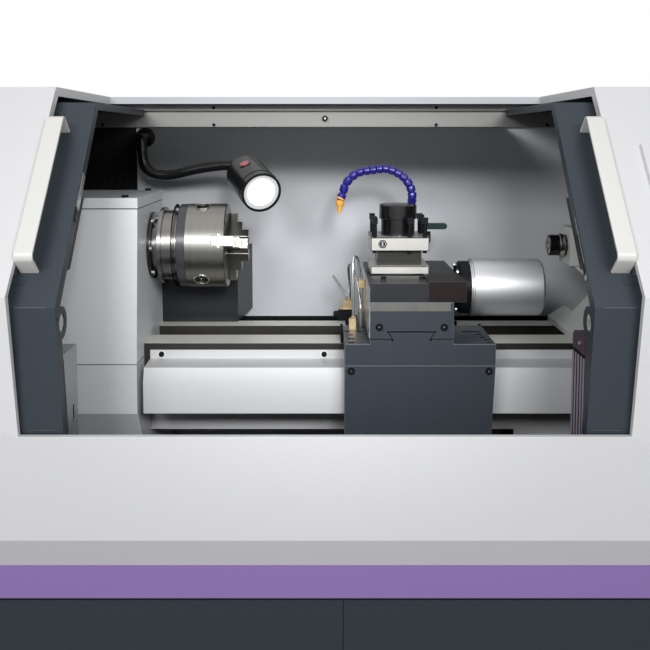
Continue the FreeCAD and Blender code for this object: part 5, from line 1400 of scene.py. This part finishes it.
        # The screw recesses of the apron and the slide are painted black: painted shade.
        soften(MACHINE_ENAMEL, 0.8, "apron", edge=MACHINE_EDGE_HIGHLIGHT,
               zones=tuple(Zone(BLACK_STEEL, (x - 7.5, -296.6, z - 8), (x + 7.5, -294.5, z + 8))
                           for x, _, z in self.apron_holes))
        shaded_recesses = tuple(Zone(BLACK_STEEL, (x - 7.5, -296.6, z - 8), (x + 7.5, -292.5, z + 8))
                         for x, _, z in self.slide_holes)
        soften(MACHINE_ENAMEL, 0.8, "cross_slide", edge=MACHINE_EDGE_HIGHLIGHT,
               splits=(((0, 0, 971), UP_WAY), ((267, 0, 0), RIGHT_WAY), ((95.5, 0, 0), RIGHT_WAY)),
               zones=shaded_recesses + (Zone(STRIP_STEEL, (95.5, -298, 971), (267, -296.9, 990.1), FRONT_WAY),
                                 Zone(SHEET_BRIGHT, (93, -298, 912), (95.5, 11, 1025))))
        soften(LIGHT_BRASS, 0.8, "oil_manifold", zones=(
            Zone(BLACK_PLASTIC, (32, 29, 880), (70, 61, 909.9)),
            Zone(ZINC, (75, -127, 899), (91, -111, 937)),
            Zone(BLACK_STEEL, (90, -111, 879), (93.3, -91, 988)),
        ))


@dataclass
class ToolPost:
    """Four-way tool post with its motor, valve and coolant hose."""

    centre: Pair = (170.0, -95.0)
    plate_front: float = -161.0
    plate_half: float = 65.7
    plate_levels: tuple[Pair, ...] = ((1028.7, 1046.7), (1081.8, 1112.2))
    line_skin: Pair = (-66.25, -65.6)
    line_width: float = 1.5
    mark: Pair = (130.5, 1097.5)
    motor_axis: Pair = (-110.0, 991.0)
    flange_face: float = 305.0
    bolt_circle: float = 52.0
    lever_levels: Pair = (1110.5, 1126.0)
    lever_ends: Pair = (240.0, 296.0)
    hose: tuple[Point, ...] = (
        (212, 40, 1148), (212, 28, 1166), (211.75, 8, 1178), (211.5, -12, 1190), (210.5, -13, 1206),
        (205.5, -14, 1222), (196, -14, 1236), (184, -14, 1247.5), (170, -14, 1255.5), (154.5, -14, 1262),
        (140, -14, 1263.5), (125, -14, 1261.5), (110, -14, 1259), (94, -14, 1257.5), (77, -14, 1252.5),
        (62.5, -14, 1241.5), (49, -14, 1225), (43.5, -14, 1204), (36.5, -14, 1187),
    )

    def station_mark(self) -> None:
        """Mark the first tool station with a figure one in a six-sided ring."""
        x, z = self.mark
        face = self.plate_front
        Bench().ring((x, face + 0.1, z), FRONT_WAY, 8.0, 10.4, 0.8, 6).rod(
            (x - 0.2, face + 0.1, z), (x - 0.2, face - 0.6, z), 6.2).finish(
            "station_ring", GAP_BLACK, "tool_post", "chuck_steel")
        Bench().block((x - 1.7, face - 0.85, z - 4.4), (x + 1.3, face + 0.1, z + 4.4)).finish(
            "station_mark", CREAM_STEEL, "tool_post", "chuck_steel")

    def plate_chamfer_shade(self) -> None:
        """Run a dark line round the faces of both plates, on their chamfers: painted shade."""
        half, width = self.plate_half, self.line_width
        out, inside = self.line_skin
        lines = Bench()
        for low, high in self.plate_levels:
            for turn in range(4):
                place = Matrix.Translation((*self.centre, 0)) @ Matrix.Rotation(turn * math.pi / 2, 4, "Z")
                for start, end, foot, head in (
                    (-half, half, low, low + width), (-half, half, high - width, high),
                    (-half, width - half, low + width, high - width),
                    (half - width, half, low + width, high - width),
                ):
                    lines.block((start, out, foot), (end, inside, head), place)
        lines.finish("plate_chamfer_shade", BLACK_STEEL, "tool_post", "dark_steel")

    def motor_bolts(self) -> None:
        """Bolt the motor's flange, and draw the joint behind it."""
        depth, level = self.motor_axis
        places = []
        for number in range(6):
            angle = math.radians(50 + 60 * number)
            spot = (self.flange_face, depth - self.bolt_circle * math.cos(angle),
                    level + self.bolt_circle * math.sin(angle))
            places.append((spot, LEFT_WAY))
        fit_screws("motor_bolts", places, BRIGHT_SCREW, "cross_slide", "dark_steel", radius=5.8,
                   height=4.2, sides=24, share=0.5)
        Bench().ring((338.5, depth, level), RIGHT_WAY, 65.6, 66.3, 1.2, 72).finish(
            "motor_joint", SEAM_SHADE, "cross_slide", "alu")

    def hose_collars(self) -> None:
        """Flare the far end of each link of the hose, and its nozzle."""
        links = zip(map(Vector, self.hose), map(Vector, self.hose[1:]))
        places = [(first + (second - first) * 0.62, second - first) for first, second in links]
        sizes = {"Wide radius": 0.0112, "Narrow radius": 0.0099, "Height": 0.0052, "Sides": 24}
        COLLARS.bake("hose_collars", points_object(places), sizes, HOSE_NAVY, "cross_slide", "hose_plastic")
        Bench().ring((38.6, -14, 1193.6), (-7, 0, -17), 8.4, 11.3, 4.2, 32).finish(
            "nozzle_collar", NOZZLE_ORANGE, "cross_slide", "nozzle_plastic", bevel=0.5)

    def lever(self) -> None:
        """Give the coolant valve's lever its rounded end."""
        (foot, tip), (low, high) = self.lever_ends, self.lever_levels
        radius = (high - low) / 2
        turns = [math.radians(15 * step) for step in range(13)]
        outline = [(foot, low)]
        outline += [(tip + radius * math.sin(turn), low + radius - radius * math.cos(turn)) for turn in turns]
        outline += [(foot, high)]
        upright = Matrix(((1, 0, 0, 0), (0, 0, -1, 0), (0, 1, 0, 0), (0, 0, 0, 1)))
        blade = Bench().slab(outline, -46.5, -33.5, upright).finish(
            "lever_blade", LEVER_GREEN, "valve_lever", "lever_plastic", bevel=1.5)
        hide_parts("valve_lever")

    def build(self) -> None:
        """Add the small pieces of the tool post."""
        self.station_mark()
        self.plate_chamfer_shade()
        self.motor_bolts()
        self.hose_collars()
        self.lever()

    def dress(self) -> None:
        """Finish the tool post."""
        # Rounded edges take the lighter edge enamel: painted highlight; the thin band just under the holder
        # is painted black: painted shade.
        soften(BLOCK_CHAR, 0.8, "tool_post_base", edge=MACHINE_EDGE_HIGHLIGHT,
               splits=(((220, 0, 0), RIGHT_WAY),),
               zones=(Zone(GEAR_BROWN, (220, -298, 989), (301, -185, 1034.5)),
                      Zone(BLACK_STEEL, (120, -240, 1030.2), (220, -225, 1037)),
                      Zone(BLACK_STEEL, (95, -170, 1025.65), (301, 61, 1028.8))))
        # The holder's core, set back between the plates, takes the dark copy: painted shade.
        soften(CREAM_STEEL, 0.6, "tool_holder",
               zones=(Zone(CORE_SHADE_STEEL, (119, -146, 1047.5), (221, -44, 1081.5)),))
        soften(CAP_BLACK, 0, "tool_post_cap", spin=Spin((*self.centre, 0), UP_WAY))
        soften(BLACK_STEEL, 0.8, "tool_clamp_bolts")
        soften(SATIN_ALUMINIUM, 0, "tool_post_motor", spin=Spin((0, *self.motor_axis)),
               zones=(Zone(BLACK_STEEL, (300, -200, 900), (333.5, 0, 1100)),))
        soften(BLACK_STEEL, 0.6, "coolant_valve")
        dress(LEVER_GREEN, "valve_lever")
        soften(HOSE_NAVY, 0, "coolant_hose")
        soften(NOZZLE_ORANGE, 0, "hose_nozzle")


@dataclass
class WorkLamp:
    """Lamp on a ribbed arm of the bendable kind, set in one fixed shape."""

    route: tuple[Point, ...] = (
        (-487, 260, 1338), (-487, 196, 1338), (-474, 158, 1252), (-412, 138, 1236),
        (-328, 96, 1259), (-240, 60, 1271), (-211.76, 41.53, 1265.19), (-200.95, 15.46, 1256.32),
    )
    start: Point = (-200.8, 15.1, 1256.2)
    aim: Point = (0.3655, -0.8812, -0.2998)
    rim_at: float = 128.0
    rim_radii: Pair = (47.2, 48.3)
    lens_at: float = 146.0
    lens_radii: Pair = (33.0, 41.9)
    switch_radii: Pair = (10.5, 14.0)
    switch: Point = (-188.8, -66.2, 1276.3)
    switch_aim: Point = (-0.286, -0.413, 0.865)

    def build(self) -> None:
        """Make the arm's ribs, the rings of the head and the red switch."""
        ribs = {"Rib radius": 0.0114, "Rib thickness": 0.0016, "Spacing": 0.0036}
        RIBS.bake("arm_ribs", path_object(self.route), ribs, LAMP_BLACK, "machine", "lamp_black")
        start, aim = Vector(self.start), Vector(self.aim)
        Bench().ring(start + aim * self.lens_at, aim, *self.lens_radii, 0.6, 64).finish(
            "lens_ring", LAMP_RING, "machine", "lamp_black")
        Bench().ring(start + aim * self.rim_at, aim, *self.rim_radii, 3.0, 72).finish(
            "lamp_rim", BLACK_STEEL, "machine", "lamp_black", bevel=0.3)
        switch, way = Vector(self.switch), Vector(self.switch_aim)
        button, ring = self.switch_radii
        Bench().rod(switch - way * 4, switch + way * 1.4, ring).finish(
            "switch_ring", CAP_BLACK, "machine", "lamp_black", bevel=0.6)
        Bench().rod(switch, switch + way * 2.6, button).finish(
            "red_switch", SWITCH_RED, "machine", "red_plastic", bevel=0.8)

    def dress(self) -> None:
        """Finish arm, head and lens."""
        soften(LAMP_BLACK, 0.6, "lamp_arm")
        soften(LAMP_BLACK, 0, "lamp_head", spin=Spin(self.start, self.aim))
        dress(LAMP_GLOW, "lamp_lens")


@dataclass
class Tailstock:
    """Tailstock with its quill, wheel and lock."""

    nose: float = 572.0
    quill_radius: float = 25.0

    def build(self) -> None:
        """Add the bright seal ring round the quill."""
        inner, outer = self.quill_radius + 0.4, self.quill_radius + 3.2
        Bench().ring((self.nose - 11, SPINDLE_Y, SPINDLE_Z), RIGHT_WAY, inner, outer, 10.9, 64).finish(
            "quill_seal_ring", EDGE_STEEL, "tailstock", "steel", bevel=0.5)

    def dress(self) -> None:
        """Finish the tailstock."""
        soften(TAIL_ENAMEL, 1.6, "tailstock_body")
        soften(CAP_BLACK, 0, "quill", spin=SPINDLE_AXIS,
               zones=(Zone(EDGE_STEEL, (536, -50.5, 1064.5), (610, -19.5, 1095.5)),))
        soften(NOSE_STEEL, 0, "tailstock_wheel", spin=SPINDLE_AXIS,
               zones=(Zone(BLACK_PLASTIC, (833, -130, 980), (890, 60, 1180)),))
        soften(TAIL_ENAMEL, 1.0, "quill_lock")


@dataclass
class OperatorPanel:
    """Control panel with its screen, keys and buttons, measured on its leaning face."""

    foot: Pair = (-600.0, 1057.0)
    slope: float = 40.28
    face: float = -10.0
    row_widths: tuple[float, ...] = (120, 86, 140, 64, 104, 132, 78)
    row_left: float = 668.0
    row_top: float = 300.0
    row_pitch: float = 19.0
    keys: int = 6
    first_key: Pair = (933.5, 176.5)
    key_pitch: float = 24.0
    cap_size: Point = (15.5, 15.5, 1.2)
    tick_size: Point = (1.6, 1.6, 0.8)
    stop: Pair = (700.0, 95.0)
    stop_ring: Pair = (21.5, 31.0)
    knob: Pair = (800.0, 95.0)
    dial: Pair = (960.0, 95.0)

    def screen(self, place: Matrix) -> None:
        """Fit the glass and light the plain rows on it.

        Args:
            place: the frame of the leaning panel.
        """
        out, inside = self.face + 0.6, self.face + 0.95
        Bench().block((654, self.face + 0.9, 152), (890, self.face + 2, 320), place).finish(
            "screen_glass", SCREEN_DARK, "machine", "glass", bevel=0.4)
        rows = Bench()
        for row, width in enumerate(self.row_widths):
            top = self.row_top - self.row_pitch * row
            rows.block((self.row_left, out, top - 4), (self.row_left + width, inside, top), place)
        rows.block((826, out, 182), (872, inside, self.row_top), place)
        rows.finish("screen_rows", SCREEN_LINE, "machine", "glass")

    def key_caps(self, place: Matrix, out: Vector) -> None:
        """Stand the key caps in their rows.

        Args:
            place: the frame of the leaning panel.
            out: the way that the panel faces.
        """
        finishes = {"grey": KEY_GREY, "blue": KEY_BLUE, "green": KEY_GREEN, "red": RED_PLASTIC}
        caps: dict[str, list[Aimed]] = {colour: [] for colour in finishes}
        x, z = self.first_key
        for column in range(self.keys):
            for row in range(self.keys):
                colour = {(5, 0): "red", (4, 0): "green"}.get((column, row), "blue" if column > 3 else "grey")
                centre = (x + column * self.key_pitch, self.face - 2.0, z + row * self.key_pitch)
                caps[colour].append((place @ Vector(centre), out))
        for colour, finish in finishes.items():
            fit_blocks(f"key_caps_{colour}", caps[colour], self.cap_size, finish, "machine",
                       "panel_plastic")

    def build(self) -> None:
        """Add screen, key caps, the stop's ring and the marks round the knob and the dial."""
        place = leaning(self.foot, self.slope)
        out = (place.to_3x3() @ Vector(FRONT_WAY)).normalized()
        self.screen(place)
        self.key_caps(place, out)
        stop_at = place @ Vector((self.stop[0], self.face, self.stop[1]))
        Bench().ring(stop_at, out, *self.stop_ring, 1.2).finish(
            "stop_ring", YELLOW_PLASTIC, "machine", "panel_plastic", bevel=0.3)
        ticks = []
        for (x, z), radius, count, sweep in ((self.knob, 25, 11, 270), (self.dial, 47, 40, 351)):
            for number in range(count):
                angle = math.radians(90 + sweep / 2 - sweep * number / (count - 1))
                spot = Vector((x + radius * math.cos(angle), self.face, z + radius * math.sin(angle)))
                ticks.append((place @ spot, out))
        fit_blocks("dial_ticks", ticks, self.tick_size, GAP_BLACK, "machine", "panel_plastic")

    def dress(self) -> None:
        """Finish panel and buttons."""
        soften(CABINET_WHITE, 1.0, "operator_panel")
        soften(RED_PLASTIC, 2.5, "emergency_stop")
        soften(BLACK_PLASTIC, 1.2, "feed_knob", "hand_dial")


# ------------------------------------------------------------------ studio

@dataclass
class Studio:
    """Floor, white surround, lamps and camera: the eye in millimetres, the rest in metres."""

    eye: Point = (0.0, -2116.0, 1338.0)
    pitch_down: float = 5.06
    lens: float = 48.18
    shift: float = -0.17
    floor_reach: float = 12.0
    flag_level: float = 1.367
    flag_sides: tuple[Pair, Pair] = ((-0.484, -0.26), (0.484, 0.255))

    def card(self, name: str, low: Pair, high: Pair, level: float,
             material: bpy.types.Material) -> bpy.types.Object:
        """Lay a flat card that isn't part of the object.

        Args:
            name: the card's name.
            low: its lowest corner.
            high: its highest corner.
            level: its height.
            material: what it is made of.

        Returns:
            The card.
        """
        mesh = bpy.data.meshes.new(name)
        (left, near), (right, far) = low, high
        corners = [(left, near, level), (right, near, level), (right, far, level), (left, far, level)]
        mesh.from_pydata(corners, [], [(0, 1, 2, 3)])
        mesh.materials.append(material)
        card = stand(name, mesh)
        return card

    def floor(self) -> None:
        """Lay the plain pale floor that takes the object's shadow."""
        material = bpy.data.materials.new("floor_white")
        material.use_nodes = True
        skin = material.node_tree.nodes["Principled BSDF"]
        skin.inputs["Base Color"].default_value = (0.5, 0.5, 0.5, 1)
        skin.inputs["Roughness"].default_value = 0.8
        reach = self.floor_reach
        self.card("floor", (-reach, -reach), (reach, reach), 0, material)

    def flag(self) -> None:
        """Hold a dark card over the open roof, hidden from the camera, to shade the rear wall's top."""
        card = self.card("roof_flag", *self.flag_sides, self.flag_level, SHOP.material(BASE_SLATE))
        card.visible_camera = False
        card.visible_glossy = False

    def surround(self) -> None:
        """White background for the camera and for reflections, and a mild sky for light."""
        world = bpy.data.worlds.new("surround")
        bpy.context.scene.world = world
        world.use_nodes = True
        world.node_tree.nodes.clear()
        wiring = Wiring(world.node_tree)
        ray = wiring.add("ShaderNodeLightPath").outputs
        shiny = wiring.calc("MAXIMUM", ray["Is Glossy Ray"], ray["Is Transmission Ray"])
        seen = wiring.calc("MAXIMUM", ray["Is Camera Ray"], shiny)
        mild = wiring.add("ShaderNodeBackground", {"Color": (0.98, 0.99, 1.0, 1), "Strength": 0.26})
        white = wiring.add("ShaderNodeBackground", {"Color": (1, 1, 1, 1), "Strength": 1.0})
        mixed = wiring.add("ShaderNodeMixShader", {0: seen, 1: mild.outputs[0], 2: white.outputs[0]})
        wiring.add("ShaderNodeOutputWorld", {"Surface": mixed.outputs[0]})

    def hang(self, light: bpy.types.Light, place: Point, target: Point, power: float) -> None:
        """Hang a lamp.

        Args:
            light: the lamp's light.
            place: its centre.
            target: the point it faces.
            power: watts.
        """
        light.energy = power
        lamp = stand(light.name, light)
        lamp.location = place
        lamp.rotation_euler = (Vector(target) - Vector(place)).to_track_quat("-Z", "Y").to_euler()

    def lamps(self) -> None:
        """Hang three soft rectangular lamps, and a soft-edged beam that fills the working space."""
        for name, place, target, size, power in (
            ("left_softbox", (-1.1, -3.2, 2.35), (-0.1, 0, 1.0), (1.2, 0.7), 49),
            ("right_softbox", (1.1, -3.2, 2.35), (-0.1, 0, 1.0), (1.2, 0.7), 42),
            ("top_softbox", (0.0, -0.6, 3.6), (0, -0.2, 1.0), (3.0, 2.0), 5),
        ):
            light = bpy.data.lights.new(name, "AREA")
            light.shape = "RECTANGLE"
            light.size, light.size_y = size
            self.hang(light, place, target, power)
        beam = bpy.data.lights.new("inner_beam", "SPOT")
        beam.spot_size = math.radians(24)
        beam.spot_blend = 1.0
        beam.shadow_soft_size = 0.22
        self.hang(beam, (0.3, -2.7, 1.95), (-0.06, 0.1, 0.97), 160)

    def camera(self) -> None:
        """Set the camera at the photograph's viewpoint."""
        view = bpy.data.cameras.new("viewpoint")
        view.sensor_width = 36.0
        view.lens = self.lens
        view.shift_y = self.shift
        view.clip_end = 60
        camera = stand("viewpoint", view)
        camera.location = Vector(self.eye) * MM
        camera.rotation_euler = (math.radians(90 - self.pitch_down), 0, 0)
        bpy.context.scene.camera = camera

    def build(self) -> None:
        """Set up everything round the object."""
        self.floor()
        self.flag()
        self.surround()
        self.lamps()
        self.camera()


def main() -> None:
    """Build every sub-assembly in order."""
    logging.basicConfig(level=logging.INFO, format="%(name)s: %(message)s")
    bpy.context.scene.view_settings.view_transform = "Standard"
    for part in (Cabinet(), Doors(), Headstock(), Bed(), Carriage(), ToolPost(), WorkLamp(), Tailstock(),
                 OperatorPanel()):
        part.build()
        part.dress()
        LOG.info("%s done", type(part).__name__)
    Studio().build()


if __name__ == "__main__":
    main()
